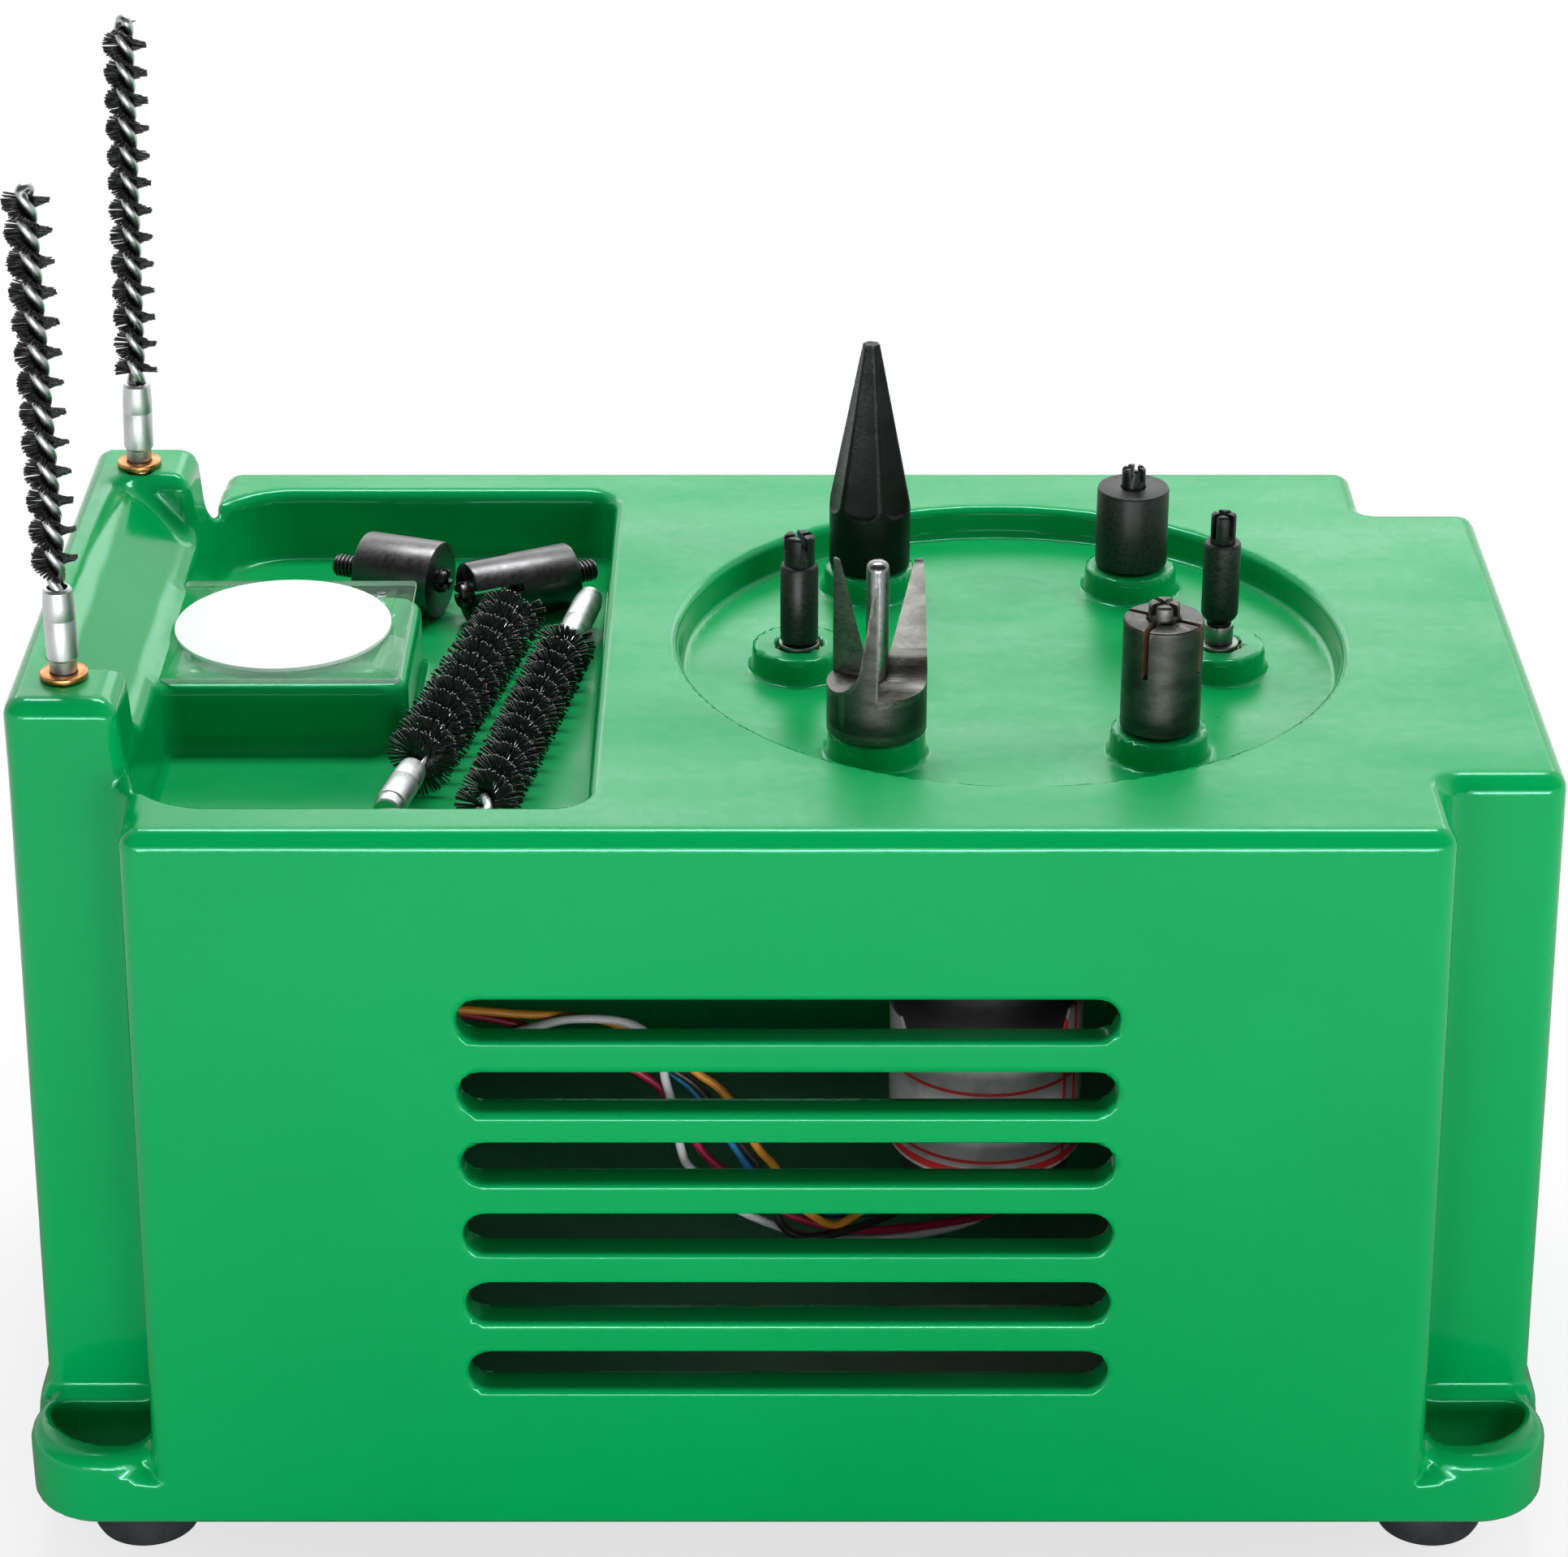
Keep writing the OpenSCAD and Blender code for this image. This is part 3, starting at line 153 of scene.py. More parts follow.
# ---- Floor -------------------------------------------------------------------
# The tent's white sweep. Close to the machine it is matt and takes its shadow;
# farther out it goes over into the white of the tent.
floor_mesh = bpy.data.meshes.new("floor")
floor_mesh.from_pydata([(-4, -4, 0), (4, -4, 0), (4, 4, 0), (-4, 4, 0)], [], [(0, 1, 2, 3)])
floor = bpy.data.objects.new("floor", floor_mesh)
scene.collection.objects.link(floor)
floor_paint = bpy.data.materials.new("floor_paint")
floor_paint.use_nodes = True
ft = floor_paint.node_tree
matt = ft.nodes["Principled BSDF"]
matt.inputs["Base Color"].default_value = (0.88, 0.88, 0.88, 1)
matt.inputs["Roughness"].default_value = 0.75
place = added(ft, "ShaderNodeTexCoord").outputs["Object"]
reach = added(ft, "ShaderNodeVectorMath", {0: place}, operation="LENGTH").outputs["Value"]
share = calc(ft, "MULTIPLY", ranged(ft, reach, 0.10, 0.24, to_low=0.70), direct_view(ft))
# Painted shadow in reflections: gloss rays see the floor's glow dimmed close to the machine, so its low sides
# mirror a darker floor
near = ranged(ft, reach, 0.11, 0.36, to_low=0.04, kind="LINEAR")
in_gloss = added(ft, "ShaderNodeLightPath").outputs["Is Glossy Ray"]
level = added(ft, "ShaderNodeMix", {"Factor": in_gloss, "A": 1.0, "B": near}).outputs["Result"]
glow = added(ft, "ShaderNodeEmission", {"Color": (1, 1, 1, 1), "Strength": level})
floor_mix = added(ft, "ShaderNodeMixShader", {"Fac": calc(ft, "MAXIMUM", share, in_gloss),
                                              1: matt.outputs[0], 2: glow.outputs[0]})
ft.links.new(floor_mix.outputs[0], ft.nodes["Material Output"].inputs["Surface"])
floor_mesh.materials.append(floor_paint)

# ---- Housing -----------------------------------------------------------------
# One thick moulding in green plastic, open below: walls with a little draft, soft
# fillets everywhere, a tray and a round recess sunk in its top, two towers for the
# upright brushes and a dished pocket in each corner of its skirt.


def round_cut(a, b, r):
    """Common part of two bodies, with its edge rounded to radius r."""
    return np.minimum(np.maximum(a, b), -r) + np.hypot(np.maximum(a + r, 0), np.maximum(b + r, 0))


def round_join(a, b, r):
    """Two bodies joined, with a fillet of radius r along the corner."""
    return np.maximum(np.minimum(a, b), r) - np.hypot(np.maximum(r - a, 0), np.maximum(r - b, 0))


def slab(x, y, half_x, half_y, r):
    """Distance to a rectangle with rounded corners, seen along its axis."""
    qx = np.abs(x) - half_x + r
    qy = np.abs(y) - half_y + r
    return np.hypot(np.maximum(qx, 0), np.maximum(qy, 0)) + np.minimum(np.maximum(qx, qy), 0) - r


def field_on_grid(field, low, high, pitch):
    """Samples a distance field finely near its surface and coarsely elsewhere."""
    block = 5
    cells = np.ceil((np.array(high) - low) / pitch / block).astype(int)
    at = [low[i] + pitch * (block * (np.arange(cells[i]) + 0.5) - 0.5) for i in range(3)]
    gx, gy, gz = (g.ravel().astype(np.float32) for g in np.meshgrid(*at, indexing="ij"))
    coarse = field(gx, gy, gz)
    near = np.flatnonzero(np.abs(coarse) < 1.5 * block * pitch)
    grid = np.repeat(coarse[:, None], block ** 3, axis=1)
    part = np.stack(np.meshgrid(*[np.arange(block)] * 3, indexing="ij"), -1).reshape(-1, 3)
    part = (part - (block - 1) / 2) * pitch
    for some in np.array_split(near, max(1, len(near) * block ** 3 // 400000)):
        x = (gx[some, None] + part[None, :, 0]).ravel().astype(np.float32)
        y = (gy[some, None] + part[None, :, 1]).ravel().astype(np.float32)
        z = (gz[some, None] + part[None, :, 2]).ravel().astype(np.float32)
        grid[some] = field(x, y, z).reshape(len(some), -1)
    grid = grid.reshape(*cells, block, block, block).transpose(0, 3, 1, 4, 2, 5)
    return grid.reshape(*(cells * block))


def surface_of(field, low, high, pitch):
    """Meshes the zero level of a distance field as quads and draws each point onto it."""
    low = np.array(low, float)
    d = field_on_grid(field, low, high, pitch)
    inside = d < 0
    shape = np.array(d.shape)
    corner = [(i, j, k) for i in (0, 1) for j in (0, 1) for k in (0, 1)]

    def view(a, c):
        return a[c[0]:shape[0] - 1 + c[0], c[1]:shape[1] - 1 + c[1], c[2]:shape[2] - 1 + c[2]]

    count = np.zeros(shape - 1, np.int8)
    for c in corner:
        count += view(inside, c)
    cell = np.argwhere((count > 0) & (count < 8))
    stride = np.array([shape[1] * shape[2], shape[2], 1])
    flat = cell @ stride
    dv = d.ravel()
    total = np.zeros((len(cell), 3))
    hits = np.zeros(len(cell))
    for a in corner:
        for axis in range(3):
            if a[axis]:
                continue
            b = list(a)
            b[axis] = 1
            da = dv[flat + np.dot(a, stride)]
            db = dv[flat + np.dot(b, stride)]
            cross = (da < 0) != (db < 0)
            t = np.where(cross, da / np.where(cross, da - db, 1), 0)
            spot = np.tile(np.array(a, float), (len(cell), 1))
            spot[:, axis] = t
            total += spot * cross[:, None]
            hits += cross
    points = low + pitch * (cell + total / hits[:, None])
    index = np.full(d.size, -1, np.int64)
    index[flat] = np.arange(len(cell))
    quads = []
    for axis in range(3):
        u, v = [(1, 2), (2, 0), (0, 1)][axis]
        first = [slice(None)] * 3
        second = [slice(None)] * 3
        first[axis] = slice(0, -1)
        second[axis] = slice(1, None)
        for w in (u, v):
            first[w] = second[w] = slice(1, -1)
        ina, inb = inside[tuple(first)], inside[tuple(second)]
        spot = np.argwhere(ina != inb)
        outward = ina[tuple(spot.T)]
        base = spot.copy()
        base[:, u] += 1
        base[:, v] += 1
        f = base @ stride
        ring = np.stack([index[f - stride[u] - stride[v]], index[f - stride[v]],
                         index[f], index[f - stride[u]]], 1)
        ring[~outward] = ring[~outward][:, ::-1]
        quads.append(ring)
    quads = np.concatenate(quads)
    points, normals = drawn_to(field, points, pitch, 4)
    return points, normals, quads[(quads >= 0).all(1)]


def slope_of(field, points, h):
    """Unit normal of the field at each point, from central differences."""
    grad = np.zeros_like(points)
    for axis in range(3):
        step = np.zeros(3)
        step[axis] = h
        ahead = field(*(points + step).T.astype(np.float32))
        back = field(*(points - step).T.astype(np.float32))
        grad[:, axis] = (ahead - back) / (2 * h)
    return grad


def drawn_to(field, points, pitch, steps):
    """Moves points onto the surface and returns them with their normals."""
    for _ in range(steps):
        grad = slope_of(field, points, 0.08 * pitch)
        size = np.maximum((grad ** 2).sum(1), 0.25)
        move = grad * (field(*points.T.astype(np.float32)) / size)[:, None]
        far = np.maximum(np.linalg.norm(move, axis=1) / (0.6 * pitch), 1)
        points = points - move / far[:, None]
    grad = slope_of(field, points, 0.25 * pitch)
    return points, grad / np.maximum(np.linalg.norm(grad, axis=1), 1e-6)[:, None]


def as_built(thing):
    """The thing's mesh with its modifiers worked in."""
    return bpy.data.meshes.new_from_object(thing.evaluated_get(bpy.context.evaluated_depsgraph_get()))


def worked_in(thing):
    """Gives the thing its built mesh in place of its modifiers."""
    mesh = as_built(thing)
    thing.modifiers.clear()
    thing.data = mesh
    return mesh


def shaded(mesh, angle):
    """Smooth shading that breaks at edges sharper than the angle, in degrees."""
    mesh.polygons.foreach_set("use_smooth", np.ones(len(mesh.polygons), bool))
    mesh.set_sharp_from_angle(angle=math.radians(angle))


def linked(name, mesh):
    """A new object with this mesh, in the scene."""
    thing = bpy.data.objects.new(name, mesh)
    scene.collection.objects.link(thing)
    return thing


def mesh_from(name, points, faces, normals=None):
    """A mesh object from arrays in millimetres; every face has the same corner count."""
    mesh = bpy.data.meshes.new(name)
    mesh.vertices.add(len(points))
    mesh.vertices.foreach_set("co", (np.asarray(points, np.float32) * 0.001).ravel())
    sides = faces.shape[1]
    mesh.loops.add(faces.size)
    mesh.loops.foreach_set("vertex_index", faces.astype(np.int32).ravel())
    mesh.polygons.add(len(faces))
    mesh.polygons.foreach_set("loop_start", np.arange(0, faces.size, sides, dtype=np.int32))
    mesh.polygons.foreach_set("loop_total", np.full(len(faces), sides, np.int32))
    mesh.update(calc_edges=True)
    mesh.polygons.foreach_set("use_smooth", np.ones(len(mesh.polygons), bool))
    if normals is not None:
        mesh.normals_split_custom_set_from_vertices(normals.astype(np.float32).tolist())
    return linked(name, mesh)


BASE_Z, SKIRT_Z, TOP_Z, TOWER_Z = 10.0, 23.5, 143.5, 157.0
TRAY_Z, RECESS_Z, BOSS_Z = 130.2, 137.5, 142.2
POST_X, POST_Y, PANEL_X, PANEL_Y = 129.0, 56.7, 108.1, 77.4
DRAFT = math.tan(math.radians(0.92))
EDGE_R = 3.3
SKIRT_X, SKIRT_Y = 132.54, 79.54
TRAY_X = -70.9
BRUSH_X, BRUSH_Y = -119.8, 46.3
SLOT_TOP, SLOT_STEP, SLOT_HALF, SLOT_R = 109.4, 13.6, 50.65, 3.85
SWITCH_Y, SWITCH_Z = -26.0, 107.5
INLET_X, INLET_Z = 84.0, 30.0
SLANT = math.radians(47.8)
CREASE_X = -122.5
HUB_X, RECESS_R = 39.0, 58.4
SIDE_R, CORNER_R, CORNER_ANGLE = 37.0, 42.0, math.radians(55.15)
spindle_at = {"l": (HUB_X - SIDE_R, 0.0), "r": (HUB_X + SIDE_R, 0.0)}
for key, sx, sy in (("bl", -1, 1), ("br", 1, 1), ("fl", -1, -1), ("fr", 1, -1)):
    spindle_at[key] = (HUB_X + sx * CORNER_R * math.cos(CORNER_ANGLE),
                       sy * CORNER_R * math.sin(CORNER_ANGLE))


def housing_field(x, y, z):
    """Distance to the moulding's surface, in millimetres, less than 0 inside."""
    ax, ay = np.abs(x), np.abs(y)
    grow = np.maximum(TOP_Z - z, 0) * DRAFT
    post = slab(x, y, POST_X + grow, POST_Y + grow, EDGE_R)
    panel = slab(x, y, PANEL_X + grow, PANEL_Y + grow, EDGE_R)
    inner = np.clip((TOP_Z + 2.5 - z) / 5, 0.02, 1) * 5.0
    plan = round_join(post, panel, inner)

    # Top: two towers with the slanted wall between them, then the tray and its pedestal
    tower = slab(x + 124.3, ay - 55.25, 15.7, 14.75, EDGE_R)
    top = round_join(z - TOP_Z, tower, 4.0)
    lean = (x - CREASE_X) * math.sin(SLANT) + (z - TOWER_Z) * math.cos(SLANT)
    top = round_join(top, round_cut(lean, ay - 46.0, 1.0), 3.4)
    down = (TOP_Z - z) / 13.3
    corner = np.where(x < TRAY_X, 15.0, 6.0)
    tray = slab(x - TRAY_X - 0.5 * down, y, 38.1 - 0.8 * down, 66.3 - 1.4 * down, corner)
    top = round_cut(top, -tray, 2.0)
    rise = round_cut(slab(x + 92.6, y - 0.65, 26.6, 19.85, 5.0), z - 142.6, 2.2)
    top = round_join(top, rise, 3.2)
    top = round_join(top, z - TRAY_Z, 1.2)
    rho = np.hypot(x - HUB_X, y)
    recess = round_cut(rho - RECESS_R - 0.05 * (z - TOP_Z), RECESS_Z - z, 1.3)
    top = round_cut(top, -recess, 1.6)
    for sx, sy in spindle_at.values():
        r = np.hypot(x - sx, y - sy)
        boss = round_cut(r - 8.25 - 0.07 * (BOSS_Z - z), z - BOSS_Z, 0.6)
        top = round_join(top, boss, 0.8)
    top = round_cut(top, z - TOWER_Z, EDGE_R)
    body = round_cut(plan, top, EDGE_R)

    # Skirt: flush below, and above it a round lobe at each corner with a dished pocket
    outer = slab(x, y, SKIRT_X, SKIRT_Y, 13.0)
    body = np.minimum(body, round_cut(outer, z - 19.5, 2.5))
    lobe = np.minimum(np.hypot(ax - 119.3, ay - 66.3) - 13.24, slab(x, y, SKIRT_X, 60.0, 3.0))
    body = round_join(body, round_cut(lobe, z - SKIRT_Z, 2.8), 2.4)
    body = np.maximum(body, np.where(z < 26, outer, -100))
    body = round_cut(body, BASE_Z - z, 1.3)
    dish = np.hypot(ax - 117.0, ay - 61.2) - 12.7
    dish = round_cut(dish, np.maximum(111.2 - ax, 60.6 - ay), 3.0)
    dish = round_cut(dish, 14.8 - z, 5.5)
    body = round_cut(body, -dish, 1.4)

    # Inside
    low = np.where(z < 32.5, 43.7, 51.7)
    room = np.minimum(slab(x, y, 103.1, 72.4, 3.0), slab(x, y, 124.0, low, 3.0))
    beside = -27.8 - x
    hollow = np.maximum(room, z - 125.2)
    hollow = np.minimum(hollow, np.maximum(np.maximum(room, z - 132.5), beside))
    hollow = np.minimum(hollow, np.maximum(np.maximum(room, z - 138.5), np.maximum(beside, 63.4 - rho)))
    body = round_cut(body, -hollow, 0.6)

    # Slots, bores and seats
    row = np.clip(np.round((SLOT_TOP - z) / SLOT_STEP), 0, 5)
    slot = np.hypot(np.maximum(ax - SLOT_HALF, 0), z - SLOT_TOP + SLOT_STEP * row) - SLOT_R
    body = round_cut(body, -np.maximum(slot, y + 60), 0.8)
    for sx, sy in spindle_at.values():
        r = np.hypot(x - sx, y - sy)
        body = np.maximum(body, -np.maximum(np.where(z > 141.3, r - 3.85, r - 4.82), 125 - z))
    body = np.maximum(body, -np.maximum(np.hypot(x - BRUSH_X, ay - BRUSH_Y) - 3.22, 145 - z))
    inlet = np.hypot(x - INLET_X, z - INLET_Z)
    body = np.maximum(body, -np.maximum(np.minimum(inlet - 5.02, np.maximum(inlet - 7.52, 77.7 - y)), -y))
    seat = np.maximum(slab(y - SWITCH_Y, z - SWITCH_Z, 7.82, 11.52, 0.6), 128.78 - x)
    case = np.maximum(slab(y - SWITCH_Y, z - SWITCH_Z, 6.52, 10.02, 0.6), 119 - x)
    body = np.maximum(body, -np.minimum(seat, case))
    return body


# The moulding's finish, and the groups that every other finish below shares:
# patches of tone, a fine grain, bright edges and painted shade in the corners.


def new_group(name, kind, takes, gives):
    """A node group with these sockets, its inputs' outputs and its result's inputs."""
    group = bpy.data.node_groups.new(name, kind)
    for in_out, sockets in (("INPUT", takes), ("OUTPUT", gives)):
        for label, what, *value in sockets:
            socket = group.interface.new_socket(name=label, in_out=in_out, socket_type="NodeSocket" + what)
            if value:
                socket.default_value = value[0]
    return group, group.nodes.new("NodeGroupInput").outputs, group.nodes.new("NodeGroupOutput").inputs


def worn_finish():
    """Node group: tone patches, grain, rubbed edges and painted corner shade on Object coordinates."""
    group, given, result = new_group(
        "worn_finish", "ShaderNodeTree",
        (("Place", "Vector"), ("Color", "Color", (0.5, 0.5, 0.5, 1)), ("Tone", "Color", (0.4, 0.4, 0.4, 1)),
         ("Patch Scale", "Float", 60.0), ("Grain Scale", "Float", 900.0), ("Smooth", "Float", 0.3),
         ("Rough", "Float", 0.4), ("Rub", "Float", 0.3), ("Rub Color", "Color", (0.7, 0.7, 0.7, 1)),
         ("Dust", "Float", 0.2)),
        (("Color", "Color"), ("Roughness", "Float"), ("Height", "Float")))

    def noise(scale, detail, rough):
        return added(group, "ShaderNodeTexNoise", {"Vector": given["Place"], "Scale": given[scale],
                                                   "Detail": detail, "Roughness": rough}).outputs["Fac"]

    def mixed(fac, a, b):
        return added(group, "ShaderNodeMix", {"Factor": fac, 6: a, 7: b}, data_type="RGBA").outputs[2]

    grain = noise("Grain Scale", 4.0, 0.6)
    tone = mixed(ranged(group, noise("Patch Scale", 3.0, 0.55), 0.35, 0.68), given["Color"], given["Tone"])
    edge = ranged(group, added(group, "ShaderNodeNewGeometry").outputs["Pointiness"], 0.515, 0.58)
    broken = calc(group, "MULTIPLY", edge, ranged(group, grain, 0.3, 0.62, 0.35, 1.0))
    rubbed = mixed(calc(group, "MULTIPLY", broken, given["Rub"]), tone, given["Rub Color"])
    # Painted shade: corners that the occlusion sample finds hidden are darkened toward near black.
    corner = added(group, "ShaderNodeAmbientOcclusion", {"Distance": 0.006}, samples=4)
    corner_shade_share = calc(group, "MULTIPLY", ranged(group, corner.outputs["AO"], 0.75, 0.25), given["Dust"])
    group.links.new(mixed(corner_shade_share, rubbed, (0.02, 0.02, 0.02, 1)), result["Color"])
    group.links.new(ranged(group, grain, 0.3, 0.7, given["Smooth"], given["Rough"]), result["Roughness"])
    group.links.new(grain, result["Height"])
    return group


worn = worn_finish()


# Each material darkens its hidden corners toward near black by its corner setting, as painted shade.
def painted(name, color, tone, smooth, rough, metallic=0.0, patch=60.0, grain=900.0, rub=0.3,
            rub_color=None, corner_shade=0.2, bump=0.1, depth=0.00005, stretch=(1, 1, 1), tint=None, slot=None):
    """A material with the shared finish; colours are (red, green, blue) in linear light."""
    paint = bpy.data.materials.new(name)
    paint.use_nodes = True
    tree = paint.node_tree
    shader = tree.nodes["Principled BSDF"].inputs
    shader["Metallic"].default_value = metallic
    shader["IOR"].default_value = 1.5
    if tint:
        shader["Specular Tint"].default_value = (*tint, 1)
    place = added(tree, "ShaderNodeTexCoord").outputs["Object"]
    turn = added(tree, "ShaderNodeMapping", {"Vector": place, "Scale": stretch}).outputs["Vector"]
    rub_color = rub_color or tuple(min(1, c * 1.6 + 0.04) for c in color)
    look = added(tree, "ShaderNodeGroup", {"Place": turn, "Color": (*color, 1), "Tone": (*tone, 1),
                                           "Rub Color": (*rub_color, 1), "Patch Scale": patch,
                                           "Grain Scale": grain, "Smooth": smooth, "Rough": rough,
                                           "Rub": rub, "Dust": corner_shade}, node_tree=worn).outputs
    relief = added(tree, "ShaderNodeBump", {"Strength": bump, "Distance": depth, "Height": look["Height"]})
    tree.links.new(look["Color"], shader["Base Color"])
    tree.links.new(look["Roughness"], shader["Roughness"])
    tree.links.new(relief.outputs["Normal"], shader["Normal"])
    paint["slot"] = slot or name
    return paint


def dress(paint, *names):
    """Gives carried-over parts a finish; a part's mesh is left as it is."""
    for name in names:
        mesh = nodes[name].data
        mesh.materials.clear()
        mesh.materials.append(paint)


green_moulding = painted("green_moulding", (0.0, 0.330, 0.082), (0.0, 0.305, 0.074), 0.10, 0.16,
                         patch=9.0, grain=500.0, rub=0.06, rub_color=(0.06, 0.46, 0.20), corner_shade=0.06,
                         bump=0.30, depth=0.00004, tint=(0.45, 1.0, 0.85))
waves = green_moulding.node_tree
waves_at = waves.nodes["Texture Coordinate"].outputs["Object"]
ripple = added(waves, "ShaderNodeTexNoise", {"Vector": waves_at, "Scale": 32.0, "Detail": 1.0}).outputs["Fac"]
sink = added(waves, "ShaderNodeBump", {"Strength": 1.0, "Distance": 0.0004, "Height": ripple})
waves.links.new(sink.outputs["Normal"], waves.nodes["Bump"].inputs["Normal"])

# Flat tops carry a finer moulded texture than the walls, so they shine more softly
facing = added(waves, "ShaderNodeNewGeometry").outputs["Normal"]
facing_at = added(waves, "ShaderNodeSeparateXYZ", {0: facing}).outputs
blotch_at = added(waves, "ShaderNodeMapping", {"Vector": waves_at,
                                               "Scale": (14.0, 34.0, 14.0)}).outputs["Vector"]
blotch = added(waves, "ShaderNodeTexNoise", {"Vector": blotch_at, "Scale": 1.0, "Detail": 5.0,
                                             "Roughness": 0.65})
blotchy_top = calc(waves, "MULTIPLY", ranged(waves, facing_at["Z"], 0.94, 0.99, to_high=0.24),
                   ranged(waves, blotch.outputs["Fac"], 0.32, 0.68, 0.45, 1.35, kind="LINEAR"))
softer = calc(waves, "ADD", waves.nodes["Group"].outputs["Roughness"], blotchy_top)
waves.links.new(softer, waves.nodes["Principled BSDF"].inputs["Roughness"])

points, normals, quads = surface_of(housing_field, (-134, -82, 7), (134, 82, 160), 1.2)
shell = mesh_from("housing_shell", points, quads)
thin = shell.modifiers.new("thin", "DECIMATE")
thin.ratio = 180000.0 / (2 * len(quads))
thinned = as_built(shell)
points = np.zeros(len(thinned.vertices) * 3)
thinned.vertices.foreach_get("co", points)
thinned.calc_loop_triangles()
faces = np.zeros(len(thinned.loop_triangles) * 3, np.int32)
thinned.loop_triangles.foreach_get("vertices", faces)
bpy.data.objects.remove(shell)
points, normals = drawn_to(housing_field, points.reshape(-1, 3) * 1000, 0.8, 3)
housing = mesh_from("housing_moulding", points, faces.reshape(-1, 3), normals)
housing.data.materials.append(green_moulding)
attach(housing, "base")
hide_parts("housing")

# ---- Base plate and feet -----------------------------------------------------
# A sheet steel plate, painted dark, closes the moulding below; it is coloured pale
# grey as painted light, since little light reaches it through the slots. Zinc
# screws hold it, and moulded rubber feet stand under the four lobes.


def in_rings(work, levels):
    """Splits long walls at these heights, so that edge wear stays beside the edges."""
    for level in levels:
        bmesh.ops.bisect_plane(work, geom=work.verts[:] + work.edges[:] + work.faces[:], dist=1e-6,
                               plane_co=(0, 0, level * 0.001), plane_no=(0, 0, 1))


def broken_edges(piece, width, angle=32.0):
    """Breaks a piece's sharp edges with a small bevel and shades it smooth between them."""
    edge = piece.modifiers.new("edge", "BEVEL")
    edge.width = width * 0.001
    edge.segments = 2
    edge.limit_method = "ANGLE"
    edge.angle_limit = math.radians(angle)
    shaded(worked_in(piece), angle)
    return piece


def refined(name, paint, width=0.15, angle=34.0, rings=()):
    """A merged copy of a part with its edges broken, in place of it."""
    source = nodes[name]
    mesh = source.data.copy()
    work = bmesh.new()
    work.from_mesh(mesh)
    bmesh.ops.remove_doubles(work, verts=work.verts, dist=2e-6)
    bmesh.ops.dissolve_limit(work, angle_limit=math.radians(0.6), verts=work.verts, edges=work.edges)
    in_rings(work, rings)
    work.to_mesh(mesh)
    work.free()
    mesh.materials.clear()
    mesh.materials.append(paint)
    copy = broken_edges(linked(name + "_finished", mesh), width, angle)
    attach(copy, source["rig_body"])
    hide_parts(name)
    return copy


def about(axis, degrees):
    """Matrix of a turn about an axis."""
    return Matrix.Rotation(math.radians(degrees), 4, axis)


def spun(spots, at):
    """Spots in millimetres, turned and moved by a matrix, in metres."""
    return np.array(spots) * 0.001 @ np.array(at.to_3x3()).T + np.array(at.translation) * 0.001


def turned(name, profile, paint, body, at, sides=64):
    """A lathe-turned piece: (radius, height) pairs from the bottom up, about the z axis of at."""
    rings = []
    spots = []
    turn = np.linspace(0, 2 * math.pi, sides, endpoint=False)
    for radius, height in profile:
        if radius < 1e-6:
            rings.append([len(spots)])
            spots.append((0.0, 0.0, height))
        else:
            rings.append(list(range(len(spots), len(spots) + sides)))
            spots.extend((radius * math.cos(a), radius * math.sin(a), height) for a in turn)
    faces = []
    for low, high in zip(rings, rings[1:]):
        for i in range(sides):
            j = (i + 1) % sides
            if len(low) == 1 and len(high) == 1:
                continue
            if len(low) == 1:
                faces.append((low[0], high[j], high[i]))
            elif len(high) == 1:
                faces.append((low[i], low[j], high[0]))
            else:
                faces.append((low[i], low[j], high[j], high[i]))
    mesh = bpy.data.meshes.new(name)
    mesh.from_pydata(spun(spots, at).tolist(), [], faces)
    work = bmesh.new()
    work.from_mesh(mesh)
    bmesh.ops.recalc_face_normals(work, faces=work.faces)
    work.to_mesh(mesh)
    work.free()
    shaded(mesh, 28.0)
    mesh.materials.append(paint)
    piece = linked(name, mesh)
    if body:
        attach(piece, body)
    return piece


def joined(name, pieces):
    """Several finished objects as one."""
    with bpy.context.temp_override(active_object=pieces[0], selected_editable_objects=pieces):
        bpy.ops.object.join()
    pieces[0].name = name
    pieces[0].data.name = name
    return pieces[0]


black_rubber = painted("black_rubber", (0.016, 0.018, 0.021), (0.026, 0.029, 0.033), 0.5, 0.75,
                       patch=180, grain=1500, rub=0.3, rub_color=(0.05, 0.055, 0.06), bump=0.35)
foot_profile = [(0, 0), (6.6, 0), (7.8, 0.25), (8.8, 0.95), (9.4, 2.1), (9.9, 3.9), (10.2, 6.2), (10.45, 8.8),
                (10.45, 9.7), (10.2, 10.0), (6, 10.0), (6, 11.5), (0, 11.5)]
feet = [turned("foot", foot_profile, black_rubber, None, Matrix.Translation((sx * 113.5, sy * 64.5, 0)))
        for sx in (-1, 1) for sy in (-1, 1)]
feet = joined("rubber_feet_moulded", feet)
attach(feet, "base")
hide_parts("rubber_feet")

# Pale grey is painted light: it makes up for the little light that reaches the dark plate through the slots.
dark_plate = painted("dark_plate", (0.60, 0.62, 0.64), (0.50, 0.52, 0.54), 0.35, 0.5,
                     patch=40, rub=0.6, rub_color=(0.35, 0.35, 0.36), bump=0.3)
zinc_screw = painted("zinc_screw", (0.62, 0.62, 0.6), (0.5, 0.5, 0.48), 0.25, 0.4, metallic=1.0, patch=300)
refined("base_plate", dark_plate, 0.3)
refined("base_screws", zinc_screw, 0.12)

